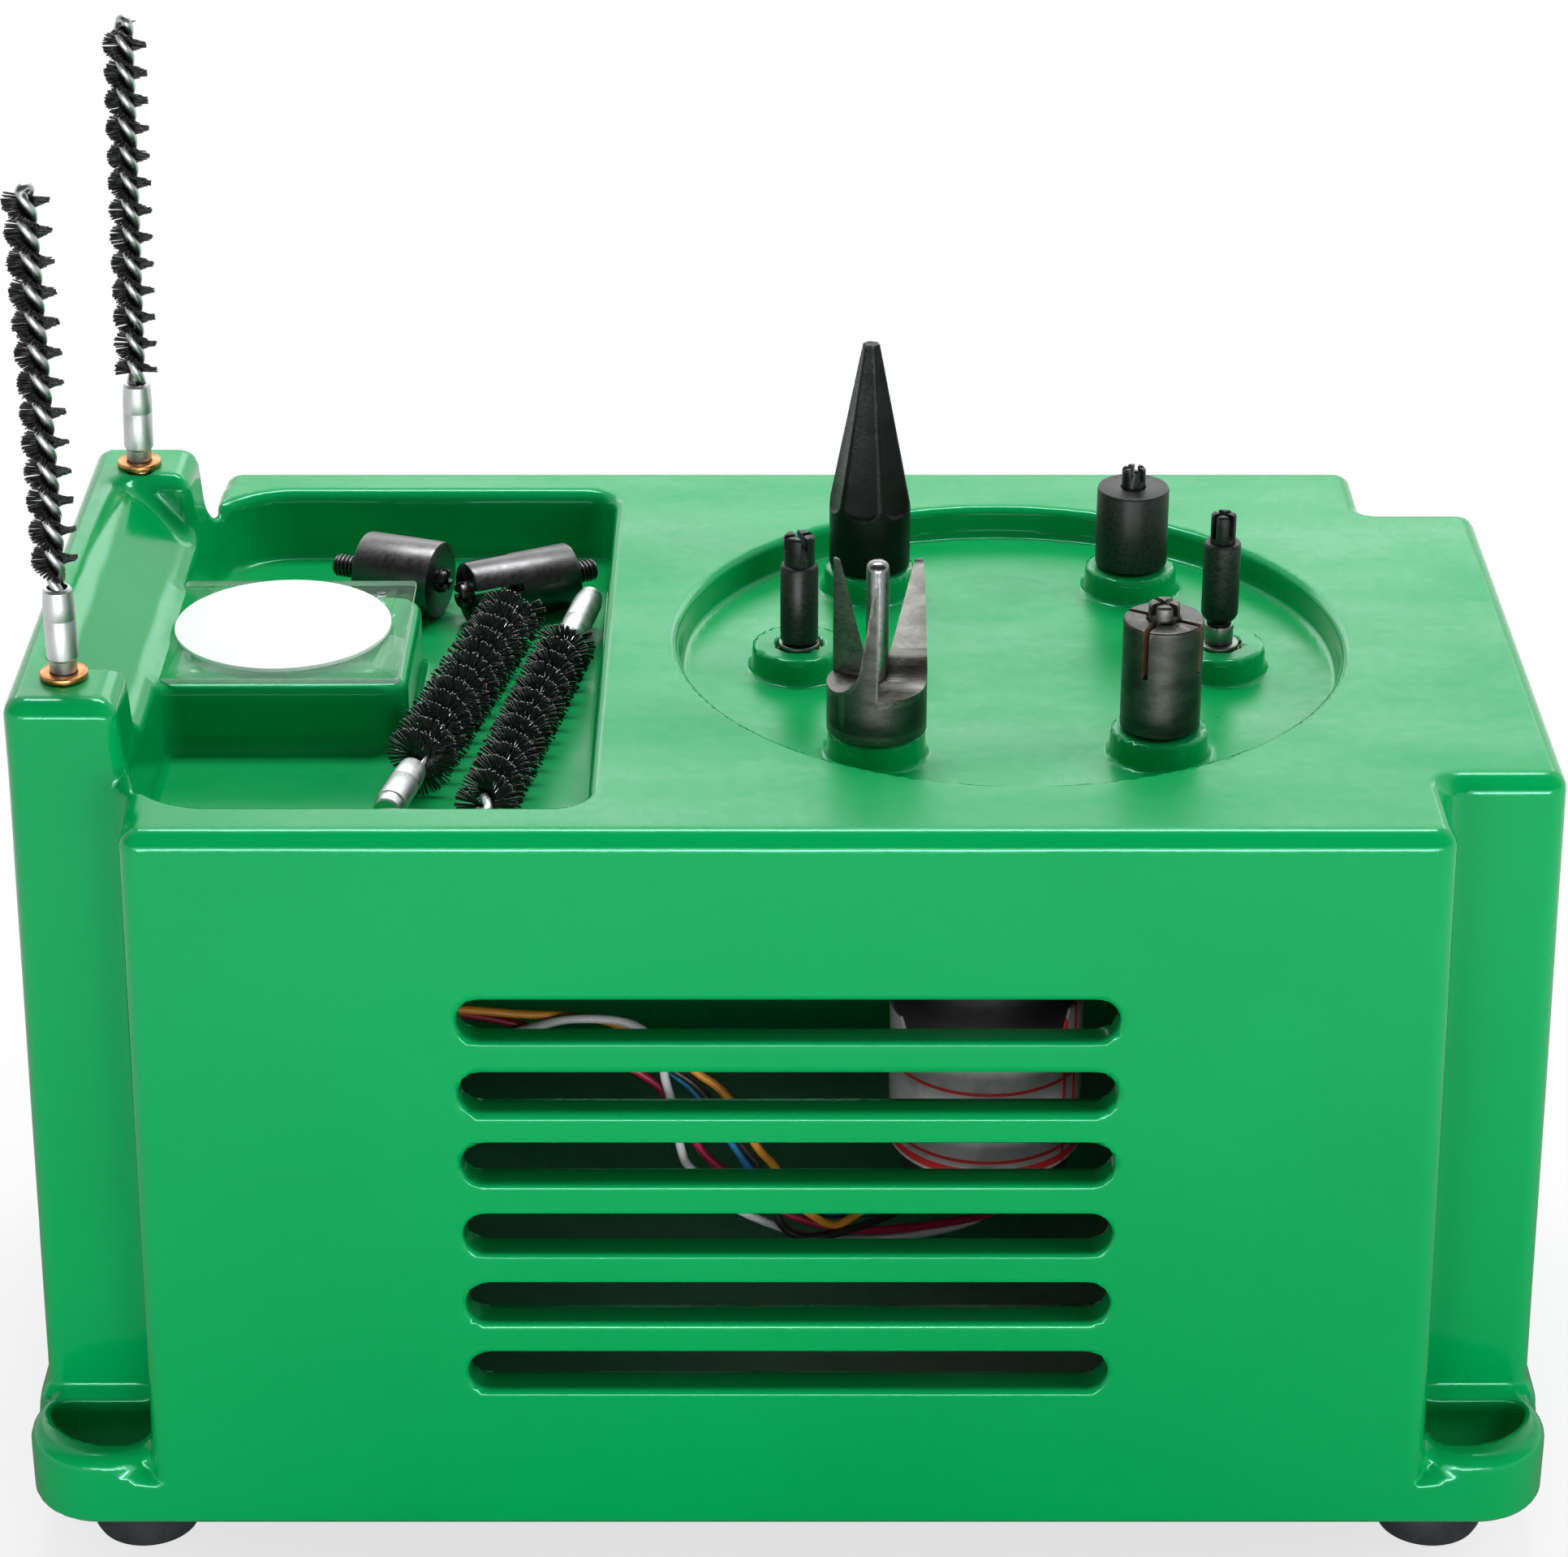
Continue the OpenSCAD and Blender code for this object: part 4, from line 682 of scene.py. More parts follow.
# ---- Gearbox and motor -------------------------------------------------------
# A cast gearbox with a small motor hangs under the gear plate. A paper label with
# thin red lines is wrapped round the motor's can.
dark_cast = painted("dark_cast_metal", (0.12, 0.12, 0.125), (0.09, 0.09, 0.095), 0.45, 0.6, metallic=1.0,
                    patch=90, grain=700, rub=0.5, bump=0.6, depth=0.0001)
plate_steel = painted("plate_steel", (0.5, 0.5, 0.49), (0.42, 0.42, 0.41), 0.3, 0.45, metallic=1.0, patch=60)
bronze = painted("bronze", (0.52, 0.30, 0.11), (0.42, 0.24, 0.09), 0.25, 0.4, metallic=1.0, patch=200)
black_plastic = painted("black_plastic", (0.014, 0.014, 0.015), (0.02, 0.02, 0.021), 0.3, 0.42, patch=120,
                        grain=1800, rub=0.3, rub_color=(0.06, 0.06, 0.06), bump=0.25)
refined("gearbox_case", dark_cast, 0.4)
motor_black = painted("motor_black", (0.012, 0.012, 0.013), (0.018, 0.018, 0.019), 0.55, 0.7, patch=60,
                      grain=700, rub=0.1, bump=0.2, slot="motor_steel")
refined("motor_can", motor_black, 0.5)
refined("motor_end_cap", black_plastic, 0.2)
refined("gear_plate", plate_steel, 0.2)
refined("gear_plate_posts", plate_steel, 0.2)
dress(zinc_screw, "gear_plate_screws")
dress(bronze, "lower_bushes")
refined("terminal_block", black_plastic, 0.6)

paper_wrap = painted("paper_wrap", (0.36, 0.365, 0.36), (0.24, 0.245, 0.24), 0.55, 0.7, patch=160, grain=1400,
                     rub=0.1, bump=0.4)
wrap_tree = paper_wrap.node_tree
wrap_at = added(wrap_tree, "ShaderNodeSeparateXYZ",
                {0: wrap_tree.nodes["Texture Coordinate"].outputs["Object"]}).outputs
wrap_turn = calc(wrap_tree, "ARCTAN2", wrap_at["Y"], calc(wrap_tree, "SUBTRACT", wrap_at["X"], 0.0367))
red_lines = 0.0
for value, where, half in ((wrap_at["Z"], 0.0600, 0.00035), (wrap_at["Z"], 0.0457, 0.00035),
                           (wrap_at["Z"], 0.0434, 0.00080), (wrap_turn, math.radians(-39), 0.026),
                           (wrap_turn, math.radians(-28), 0.030)):
    red_lines = calc(wrap_tree, "MAXIMUM", red_lines, calc(wrap_tree, "COMPARE", value, where, half))
red_mix = added(wrap_tree, "ShaderNodeMix", {"Factor": red_lines,
                                             6: wrap_tree.nodes["Group"].outputs["Color"],
                                             7: (0.55, 0.02, 0.02, 1)}, data_type="RGBA")
wrap_tree.links.new(red_mix.outputs[2], wrap_tree.nodes["Principled BSDF"].inputs["Base Color"])

# The paper is cut away in front, so its top edge stands up as an ear on each side
MOTOR_X, WRAP_IN, WRAP_OUT, WRAP_FOOT = 36.7, 17.35, 17.9, 42.0
around = np.linspace(-math.pi, math.pi, 145)[:-1]
from_front = np.abs(np.degrees(around) + 95)
edge_z = 66.5 + (3.9 + 0.1 * WRAP_OUT * (1 + np.cos(around))) * np.clip((from_front - 49) / 11, 0, 1)
wrap_spots = []
for wall_r, bottom in ((WRAP_IN, True), (WRAP_OUT, True), (WRAP_OUT, False), (WRAP_IN, False)):
    level = np.full(len(around), WRAP_FOOT) if bottom else edge_z
    wrap_spots.append(np.stack([MOTOR_X + wall_r * np.cos(around), wall_r * np.sin(around), level], 1))
rounds = len(around)
wrap_faces = np.array([(k * rounds + i, k * rounds + (i + 1) % rounds,
                        (k + 1) % 4 * rounds + (i + 1) % rounds, (k + 1) % 4 * rounds + i)
                       for k in range(4) for i in range(rounds)])
wrap = mesh_from("paper_wrap_around_motor", np.vstack(wrap_spots), wrap_faces)
wrap.data.set_sharp_from_angle(angle=math.radians(40))
wrap.data.materials.append(paper_wrap)
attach(wrap, "base")
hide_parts("motor_wrap")


def tube_tree():
    """Geometry nodes: a round tube along every edge path of a mesh."""
    group, given, result = new_group("tube_along_path", "GeometryNodeTree",
                                     (("Path", "Geometry"), ("Radius", "Float"), ("Sides", "Int"),
                                      ("Paint", "Material")), (("Tube", "Geometry"),))
    curve = added(group, "GeometryNodeMeshToCurve", {"Mesh": given["Path"]})
    circle = added(group, "GeometryNodeCurvePrimitiveCircle", {"Radius": given["Radius"],
                                                               "Resolution": given["Sides"]})
    sweep = added(group, "GeometryNodeCurveToMesh", {"Fill Caps": True, "Curve": curve.outputs["Curve"],
                                                     "Profile Curve": circle.outputs["Curve"]})
    smooth = added(group, "GeometryNodeSetShadeSmooth", {"Geometry": sweep.outputs["Mesh"]})
    real = added(group, "GeometryNodeRealizeInstances", {"Geometry": smooth.outputs["Geometry"]})
    coat = added(group, "GeometryNodeSetMaterial", {"Geometry": real.outputs["Geometry"],
                                                    "Material": given["Paint"]})
    group.links.new(coat.outputs["Geometry"], result["Tube"])
    return group


def made_by(tree, name, mesh, **sizes):
    """Runs a geometry node tree on a mesh and returns its result as a plain object."""
    thing = linked(name, mesh)
    step = thing.modifiers.new("shape", "NODES")
    step.node_group = tree
    for item in tree.interface.items_tree:
        if item.in_out == "INPUT" and item.name.replace(" ", "_") in sizes:
            step[item.identifier] = sizes[item.name.replace(" ", "_")]
    thing.update_tag()
    worked_in(thing)
    return thing


tube = tube_tree()


def path_mesh(name, lines):
    """Edge paths in millimetres as one mesh."""
    spots = []
    edges = []
    for line in lines:
        start = len(spots)
        spots.extend((np.asarray(line) * 0.001).tolist())
        edges.extend((start + i, start + i + 1) for i in range(len(line) - 1))
    mesh = bpy.data.meshes.new(name)
    mesh.from_pydata(spots, edges, [])
    return mesh


def smooth_path(knots, count):
    """A curve through the knots, as count points."""
    knots = np.asarray(knots, float)
    ends = np.vstack([2 * knots[0] - knots[1], knots, 2 * knots[-1] - knots[-2]])
    spots = []
    for t in np.linspace(0, len(knots) - 1 - 1e-9, count):
        i = int(t)
        u = t - i
        a, b, c, d = ends[i:i + 4]
        spots.append(0.5 * (2 * b + (c - a) * u + (2 * a - 5 * b + 4 * c - d) * u ** 2
                            + (3 * b - 3 * c + d - a) * u ** 3))
    return np.array(spots)


# ---- Motor leads -------------------------------------------------------------
# Five stranded leads in coloured insulation run loose from the terminal block,
# cross over once and hang in a bow below the motor before they reach its tabs.
lead_colours = {"magenta": (0.42, 0.008, 0.05), "white": (0.78, 0.78, 0.8), "blue": (0.02, 0.22, 0.5),
                "black": (0.015, 0.015, 0.016), "orange": (0.82, 0.32, 0.03)}
lead_knots = {
    "magenta": [(-112, -16, 82), (-95, -18, 81.5), (-75, -20, 79.8), (-59.4, -20, 78.4), (-48.2, -20, 76),
                (-36, -20, 71.5), (-26.5, -20, 65.9), (-21.8, -20, 61.2), (-16.1, -20, 50.4),
                (-12.6, -20, 46.3), (-4, -19, 37.5), (10, -17, 31), (25, -12, 28.5), (40, -7, 29),
                (45.1, -4, 34)],
    "white": [(-112, -18, 79), (-90, -19, 76.5), (-66, -21, 74.5), (-52, -22, 75), (-46.7, -22, 76.2),
              (-39.4, -22, 78.2), (-30.7, -22, 78), (-25.6, -22, 75.7), (-22.8, -22, 70.5),
              (-22.1, -22, 65.9), (-21, -22, 61.2), (-19.3, -21.5, 50.4), (-17.4, -21, 46.3),
              (-9, -20, 37), (6, -17.5, 29.5), (22, -13, 27), (36, -8, 28), (40.9, -4, 34)],
    "blue": [(-112, -20, 77), (-90, -20, 74.5), (-60, -20, 72.8), (-36, -20, 72.3), (-26.5, -20, 69.9),
             (-20.6, -20, 65.9), (-16, -20, 61.2), (-9.6, -20, 50.4), (-7.1, -20, 46.3), (-1, -18.5, 38.5),
             (8, -15, 33), (22, -9, 30.5), (33, -6, 31), (36.7, -4, 34)],
    "black": [(-112, -22, 80.5), (-90, -22, 73), (-60, -22, 71), (-34, -21.5, 70.3), (-24.5, -21, 69),
              (-18.6, -21.3, 65.9), (-14.4, -21.3, 61.2), (-7.7, -21, 50.4), (-5.1, -21, 46.3),
              (-1.6, -21, 35.3), (3, -20.5, 31.5), (12, -17, 31), (24, -9, 31.8), (32.5, -4, 34)],
    "orange": [(-112, -24, 83), (-88, -22, 81.5), (-62, -21, 80), (-48.1, -20.5, 78.5), (-39.4, -20.3, 78),
               (-31.4, -20.2, 76.5), (-23, -20, 71.5), (-16.2, -20, 65.9), (-11.1, -20, 61.2),
               (-5.6, -20, 50.4), (-2.6, -19.6, 46.3), (0.8, -19.2, 39.5), (4.4, -19, 35.3),
               (8.8, -18, 32.5), (14, -15, 33.9), (20, -10, 34.2), (26, -6, 32.5), (28.3, -4, 34)]}
leads = []
for name, colour in lead_colours.items():
    insulation = painted("lead_insulation_" + name, colour, tuple(c * 0.82 for c in colour), 0.28, 0.42,
                         patch=220, grain=1200, rub=0.15, corner_shade=0.4, bump=0.2)
    route = path_mesh("lead_" + name, [smooth_path(lead_knots[name], 90)])
    leads.append(made_by(tube, "lead_" + name, route, Radius=0.00082, Sides=12, Paint=insulation))
for lead in leads:
    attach(lead, "base")
    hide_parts("motor_leads")

# ---- Upright brushes ---------------------------------------------------------
# Case neck brushes stand on the towers: black nylon twisted into two strands of
# left-handed wire, crimped into an aluminium ferrule that screws into an insert.
bright_aluminium = painted("bright_aluminium", (0.60, 0.63, 0.62), (0.46, 0.49, 0.48), 0.36, 0.52,
                           metallic=1.0, patch=120, grain=600, rub=0.15, bump=0.25, stretch=(1, 1, 0.12),
                           corner_shade=0.1)
twisted_wire = painted("twisted_wire", (0.44, 0.47, 0.46), (0.36, 0.39, 0.38), 0.24, 0.38, metallic=1.0,
                       patch=150, grain=900, rub=0.2, corner_shade=0.5, bump=0.2)
black_nylon = painted("black_nylon", (0.010, 0.010, 0.011), (0.016, 0.016, 0.017), 0.22, 0.36, patch=400,
                      grain=1500, rub=0.0, corner_shade=0.0, bump=0.1)
# Pale grey on the bristles' cut ends is a painted glint; the nylon itself is black.
painted_tip_glint = painted("nylon_cut_ends", (0.50, 0.50, 0.51), (0.26, 0.26, 0.27), 0.3, 0.45, patch=900,
                     grain=2500, rub=0.0, corner_shade=0.0, bump=0.0)
copper_washer = painted("copper_washer", (0.60, 0.255, 0.085), (0.46, 0.18, 0.055), 0.24, 0.38, metallic=1.0,
                        patch=260, grain=900, rub=0.3, rub_color=(0.85, 0.5, 0.25), bump=0.25)
turned_brass = painted("turned_brass", (0.66, 0.46, 0.17), (0.55, 0.37, 0.13), 0.22, 0.36, metallic=1.0,
                       patch=200)
refined("brush_washers", copper_washer, 0.18)
refined("brush_inserts", turned_brass, 0.1)


def brush_tree():
    """Geometry nodes: bristles in a twisted double fan along the z axis."""
    floats = [(name, "Float") for name in ("From", "To", "Pitch", "Reach", "Uneven", "Thick", "Spread",
                                           "Ragged")]
    group, given, result = new_group("twisted_bristles", "GeometryNodeTree",
                                     (("Seat", "Geometry"), *floats, ("Count", "Int"), ("Seed", "Int"),
                                      ("Paint", "Material"), ("Tip", "Material")), (("Brush", "Geometry"),))

    def sum_of(operation, *values):
        return calc(group, operation, *values)

    def chance(low, high, seed):
        sockets = {2: low, 3: high, "Seed": sum_of("ADD", given["Seed"], seed)}
        return added(group, "FunctionNodeRandomValue", sockets, data_type="FLOAT").outputs[1]

    def within(share, seed):
        reach = sum_of("MULTIPLY", given["Spread"], share)
        return chance(sum_of("MULTIPLY", reach, -1.0), reach, seed)

    points = added(group, "GeometryNodePoints", {"Count": given["Count"]})
    index = added(group, "GeometryNodeInputIndex").outputs[0]
    span = sum_of("SUBTRACT", given["To"], given["From"])
    along = sum_of("ADD", sum_of("MULTIPLY", sum_of("DIVIDE", index, given["Count"]), span), given["From"])
    along = sum_of("ADD", along, sum_of("MULTIPLY", chance(-1.0, 1.0, 1), given["Ragged"]))
    side = sum_of("MULTIPLY", sum_of("FLOORED_MODULO", index, 2.0), math.pi)
    angle = sum_of("MULTIPLY", sum_of("DIVIDE", along, given["Pitch"]), -2 * math.pi)
    angle = sum_of("ADD", sum_of("ADD", angle, side), within(1.0, 2))
    tilt = sum_of("ADD", math.pi / 2, within(0.6, 3))
    height = added(group, "ShaderNodeCombineXYZ", {"Z": along}).outputs[0]
    spot = added(group, "GeometryNodeSetPosition", {"Geometry": points.outputs[0], "Position": height})
    turn = added(group, "ShaderNodeCombineXYZ", {"Y": tilt, "Z": angle})
    shorter = sum_of("MULTIPLY", chance(0.0, 1.0, 4), given["Uneven"])
    length = sum_of("MULTIPLY", given["Reach"], sum_of("SUBTRACT", 1.0, shorter))
    size = added(group, "ShaderNodeCombineXYZ", {"X": given["Thick"], "Y": given["Thick"], "Z": length})
    hair = added(group, "GeometryNodeMeshCone", {"Vertices": 5, "Side Segments": 1, "Radius Top": 0.92,
                                                 "Radius Bottom": 1.0, "Depth": 1.0},
                 fill_type="TRIANGLE_FAN")
    smooth = added(group, "GeometryNodeSetShadeSmooth", {"Geometry": hair.outputs["Mesh"]})
    marked = added(group, "GeometryNodeStoreNamedAttribute", {
        "Name": "cut_end", "Geometry": smooth.outputs["Geometry"], "Value": hair.outputs["Top"]},
        data_type="BOOLEAN", domain="FACE")
    rotation = added(group, "FunctionNodeEulerToRotation", {"Euler": turn.outputs[0]})
    put = added(group, "GeometryNodeInstanceOnPoints", {
        "Points": spot.outputs[0], "Instance": marked.outputs["Geometry"], "Rotation": rotation.outputs[0],
        "Scale": size.outputs[0]})
    real = added(group, "GeometryNodeRealizeInstances", {0: put.outputs[0]})
    coat = added(group, "GeometryNodeSetMaterial", {"Geometry": real.outputs[0], "Material": given["Paint"]})
    ends = added(group, "GeometryNodeInputNamedAttribute", {"Name": "cut_end"}, data_type="BOOLEAN")
    tips = added(group, "GeometryNodeSetMaterial", {
        "Geometry": coat.outputs[0], "Selection": ends.outputs["Attribute"], "Material": given["Tip"]})
    group.links.new(tips.outputs[0], result["Brush"])
    return group


bristles = brush_tree()
WIRE_R = 0.8
WASHER_TOP = 158.2


def brush_frame(start, direction):
    """Matrix whose z axis runs up a brush from its seat."""
    turn = Vector(direction).to_track_quat("Z", "Y").to_matrix().to_4x4()
    return Matrix.Translation(start) @ turn


def placed(thing, at):
    """Puts a piece made at the origin in its place, in its mesh."""
    moved = at.copy()
    moved.translation = moved.translation * 0.001
    thing.data.transform(moved)
    thing.data.update()


def twisted_brush(name, at, low, high, pitch, reach, count, uneven, spread, ragged, seed, thick, body,
                  stands_for, ends=black_nylon):
    """Wire strands with a loop at the tip, and their bristles, on a brush's own axis."""
    top = high + 0.6
    climb = np.linspace(0, 1, int(abs((top - low) / pitch) * 24))
    heights = low - 6 + climb * (top - low + 6)
    turn = -2 * math.pi * heights / pitch + math.pi / 2
    first = np.stack([WIRE_R * np.cos(turn), WIRE_R * np.sin(turn), heights], 1)
    second = np.stack([-WIRE_R * np.cos(turn), -WIRE_R * np.sin(turn), heights], 1)
    bend = np.linspace(0, math.pi, 9)[1:-1]
    across = first[-1] - second[-1]
    middle = (first[-1] + second[-1]) / 2
    loop = [middle + across / 2 * math.cos(b) + np.array([0, 0, 0.9 * WIRE_R * math.sin(b)]) for b in bend]
    strands = np.vstack([first, loop, second[::-1]])
    wire = made_by(tube, name + "_wire", path_mesh(name, [strands]), Radius=WIRE_R * 0.00115, Sides=12,
                   Paint=twisted_wire)
    placed(wire, at)
    seat = bpy.data.meshes.new(name + "_seat")
    hair = made_by(bristles, name + "_bristles", seat, From=low * 0.001, To=high * 0.001,
                   Pitch=pitch * 0.001, Reach=reach * 0.001, Uneven=uneven, Thick=thick * 0.001,
                   Spread=spread, Ragged=ragged * 0.001, Count=count, Seed=seed, Paint=black_nylon,
                   Tip=ends)
    placed(hair, at)
    for piece, node in ((wire, stands_for + "_stem"), (hair, stands_for + "_bristles")):
        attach(piece, body)
        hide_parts(node)


def ferrule(name, at, length, body, node, threaded=True):
    """Crimped ferrule: neck, barrel with a rolled step, chamfered mouth, and its stud."""
    profile = [(0, -10.0), (1.7, -10.0), (2.05, -9.6), (2.05, 0), (2.05, 0.15), (2.2, 0.15), (2.3, 0.35),
               (2.3, 2.2), (2.42, 2.5), (2.62, 2.7), (2.65, 2.95), (2.65, length * 0.62),
               (2.58, length * 0.63), (2.58, length * 0.645), (2.65, length * 0.655), (2.62, length * 0.8),
               (2.5, length - 1.5), (2.4, length - 0.35), (2.15, length), (1.75, length + 0.1),
               (1.6, length - 0.5), (1.5, length - 5.0), (0, length - 5.0)]
    if not threaded:
        profile = [(0, 0.0), (2.0, 0.0), (2.2, 0.2)] + profile[6:]
    piece = turned(name, profile, bright_aluminium, body, at, sides=48)
    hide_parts(node)


for name, side, lean, seed, reach in (("front_brush", -1, 0.0, 3, 3.92), ("rear_brush", 1, 1.9, 5, 3.95)):
    up = (math.sin(math.radians(lean)), 0, math.cos(math.radians(lean)))
    stand = brush_frame((BRUSH_X, side * BRUSH_Y, WASHER_TOP), up)
    ferrule(name + "_crimped_ferrule", stand, 15.0, "base", name + "_ferrule")
    twisted_brush(name + "_twist", stand, 17.3, 82.2, 10.2, reach, 2300, 0.10, 0.14, 0.16, seed, 0.14,
                  "base", name)

# ---- Spindles and bushes -----------------------------------------------------
# Turned steel spindles run in bronze bushes, and only their ground tops show in
# the bosses. Below the recess, white acetal gears couple them to the drive.
shaft_steel = painted("shaft_steel", (0.26, 0.28, 0.26), (0.18, 0.20, 0.18), 0.30, 0.42, metallic=1.0,
                      patch=150, stretch=(0.3, 0.3, 4), bump=0.2)
white_acetal = painted("white_acetal", (0.72, 0.72, 0.69), (0.66, 0.66, 0.63), 0.35, 0.45, patch=80,
                       grain=900)
for key in spindle_at:
    refined("spindle_" + key, shaft_steel, 0.15)
    dress(white_acetal, "gear_" + key)
dress(white_acetal, "drive_gear")
dress(shaft_steel, "drive_shaft")
for key in spindle_at:
    x, y = spindle_at[key]
    sleeve = turned("upper_bush_" + key, [(3.62, 131.5), (6.6, 131.5), (6.6, 132.4), (4.8, 132.4),
                                          (4.8, 141.2), (3.62, 141.2), (3.62, 131.5)], bronze, "base",
                    Matrix.Translation((x, y, 0)))
    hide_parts("upper_bushes")

# ---- Tools on the spindles ---------------------------------------------------
# Each screws into its spindle. The pocket brushes, the cone and the uniformer at
# the back are black oxide steel; the crown and the front uniformer are ground.
black_oxide = painted("black_oxide_steel", (0.016, 0.019, 0.018), (0.010, 0.012, 0.011), 0.36, 0.52,
                      metallic=0.85, patch=110, grain=1100, rub=0.45, rub_color=(0.16, 0.165, 0.165),
                      bump=0.30, stretch=(1, 1, 2.2), corner_shade=0.15)
ground_steel = painted("ground_steel", (0.088, 0.088, 0.083), (0.050, 0.050, 0.045), 0.34, 0.48, metallic=1.0,
                       patch=150, grain=1200, rub=0.28, rub_color=(0.34, 0.33, 0.31), bump=0.30,
                       stretch=(1, 1, 2.6), corner_shade=0.2)
SPINDLE_TOP = 142.5
STUD_R = 2.05


def spindle_frame(key, turn=0.0, lift=0.0):
    """Matrix of a spindle's shoulder, turned and raised on its axis."""
    x, y = spindle_at[key]
    return Matrix.Translation((x, y, SPINDLE_TOP + lift)) @ about("Z", turn)


def cut_by(piece, cutters):
    """Takes the cutters, given as (low, high, matrix) blocks, out of a piece."""
    for low, high, at in cutters:
        block = bpy.data.meshes.new("cutter")
        corners = [Vector((x, y, z)) for x in (low[0], high[0]) for y in (low[1], high[1])
                   for z in (low[2], high[2])]
        block.from_pydata([tuple((at @ c) * 0.001) for c in corners], [],
                          [(0, 1, 3, 2), (4, 6, 7, 5), (0, 4, 5, 1), (2, 3, 7, 6), (0, 2, 6, 4),
                           (1, 5, 7, 3)])
        tool = linked("cutter", block)
        cut = piece.modifiers.new("cut", "BOOLEAN")
        cut.operation = "DIFFERENCE"
        cut.solver = "EXACT"
        cut.object = tool
        worked_in(piece)
        bpy.data.objects.remove(tool)
    return piece


def toothed(name, at, radius, height, below, slot_w, depth, paint, body, turns=(0, 90)):
    """A cutter tip with crossed slots milled across its end."""
    tip = turned(name, [(0, -below), (radius, -below), (radius, height - 0.35), (radius - 0.35, height),
                        (radius * 0.42, height), (0, height - 0.5)], paint, None, at, sides=48)
    cutters = [((-radius - 1, -slot_w / 2, height - depth), (radius + 1, slot_w / 2, height + 1),
                at @ about("Z", a)) for a in turns]
    broken_edges(cut_by(tip, cutters), 0.12)
    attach(tip, body)
    return tip


# Large and small pocket brushes
at = spindle_frame("l")
piece = turned("large_pocket_shank", [(0, -9), (STUD_R, -9), (STUD_R, 0), (2.6, 0), (3.15, 0.3), (3.35, 0.6),
                                      (3.35, 14.2), (3.1, 14.75), (2.7, 15), (0, 15)],
               black_oxide, "spindle_l", at)
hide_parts("large_pocket_brush_l")
toothed("large_pocket_teeth", spindle_frame("l", 20, 15), 2.7, 5.3, 0.5, 1.1, 2.6, black_oxide, "spindle_l")
at = spindle_frame("r")
piece = turned("small_pocket_shank", [(0, -9), (STUD_R, -9), (STUD_R, 0), (2.2, 0.05), (2.3, 0.3), (2.3, 3.2),
                                      (2.2, 3.5), (2.15, 4.0), (2.45, 4.35), (2.95, 4.9), (3.25, 5.6),
                                      (3.25, 18.6), (3.0, 19.05), (2.2, 19.1), (0, 19.1)],
               black_oxide, "spindle_r", at)
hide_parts("small_pocket_brush_r")
stud = turned("small_pocket_stud", [(2.1, 0.02), (2.5, 0.1), (2.58, 0.4), (2.58, 3.0), (2.45, 3.4),
                                    (2.1, 3.5)], shaft_steel, "spindle_r", at)
toothed("small_pocket_teeth", spindle_frame("r", 35, 19.05), 2.2, 5.3, 0.5, 1.0, 4.4, black_oxide,
        "spindle_r")

# Fluted chamfer cone
CONE_R, CONE_BODY_H, CONE_H, CONE_TIP_R = 7.4, 13.0, 29.9, 1.6
cone_slope = math.atan((CONE_R - CONE_TIP_R) / CONE_H)


def cone_field(x, y, z):
    """Distance to the cone: a short barrel, a long taper with six flutes, and its stud."""
    r = np.hypot(x, y)
    taper = (r - CONE_R) * math.cos(cone_slope) + (z - CONE_BODY_H) * math.sin(cone_slope)
    body = round_cut(np.maximum(r - CONE_R, taper), z - CONE_BODY_H - CONE_H, 0.2)
    body = round_cut(body, 0.0 - z, 0.6)
    turn = np.arctan2(y, x) - math.radians(15)
    turn = turn - math.radians(60) * np.round(turn / math.radians(60))
    u, v = r * np.cos(turn), r * np.sin(turn)
    out = (u - CONE_R) * math.cos(cone_slope) + (z - CONE_BODY_H) * math.sin(cone_slope)
    up = (z - CONE_BODY_H) * math.cos(cone_slope) - (u - CONE_R) * math.sin(cone_slope)
    reach = 2.6 * (1 - np.sqrt(np.clip(1 - (v / 3.9) ** 2, 0, 1))) - 2.0
    depth = 0.125 * np.clip(CONE_R - (z - CONE_BODY_H) * math.tan(cone_slope), CONE_TIP_R, CONE_R)
    flute = round_cut(-(out + depth - v * v / 60), reach - up, 1.0)
    body = round_cut(body, -flute, 0.12)
    stud_part = np.maximum(r - STUD_R, np.maximum(z - 1, -9 - z))
    return np.minimum(body, stud_part)


def carved(name, field, low, high, pitch, at, paint, body, node):
    """A milled piece meshed from its distance field, on a spindle's axis."""
    spots, normals, faces = surface_of(field, low, high, pitch)
    turn = np.array(at.to_3x3())
    piece = mesh_from(name, spots @ turn.T + np.array(at.translation), faces, normals @ turn.T)
    piece.data.materials.append(paint)
    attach(piece, body)
    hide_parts(node)


carved("chamfer_cone", cone_field, (-9, -9, -10), (9, 9, 44.5), 0.36, spindle_frame("bl"), black_oxide,
       "spindle_bl", "chamfer_cone_bl")

# Uniformer at the back right, all black
at = spindle_frame("br")
piece = turned("uniformer_black", [(0, -9), (STUD_R, -9), (STUD_R, 0), (5.9, 0), (6.3, 0.2), (6.55, 0.6),
                                   (6.55, 14.7), (6.35, 15.1), (6.0, 15.2), (2.35, 15.2), (2.2, 15.0),
                                   (2.2, 13.5), (0, 13.5)], black_oxide, "spindle_br", at)
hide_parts("uniformer_body_br")
tip = toothed("uniformer_black_teeth", spindle_frame("br", 10, 14.0), 2.15, 4.9, 0.4, 0.9, 2.4, black_oxide,
              "spindle_br", turns=(0, 60, 120))
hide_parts("uniformer_cutter_br")

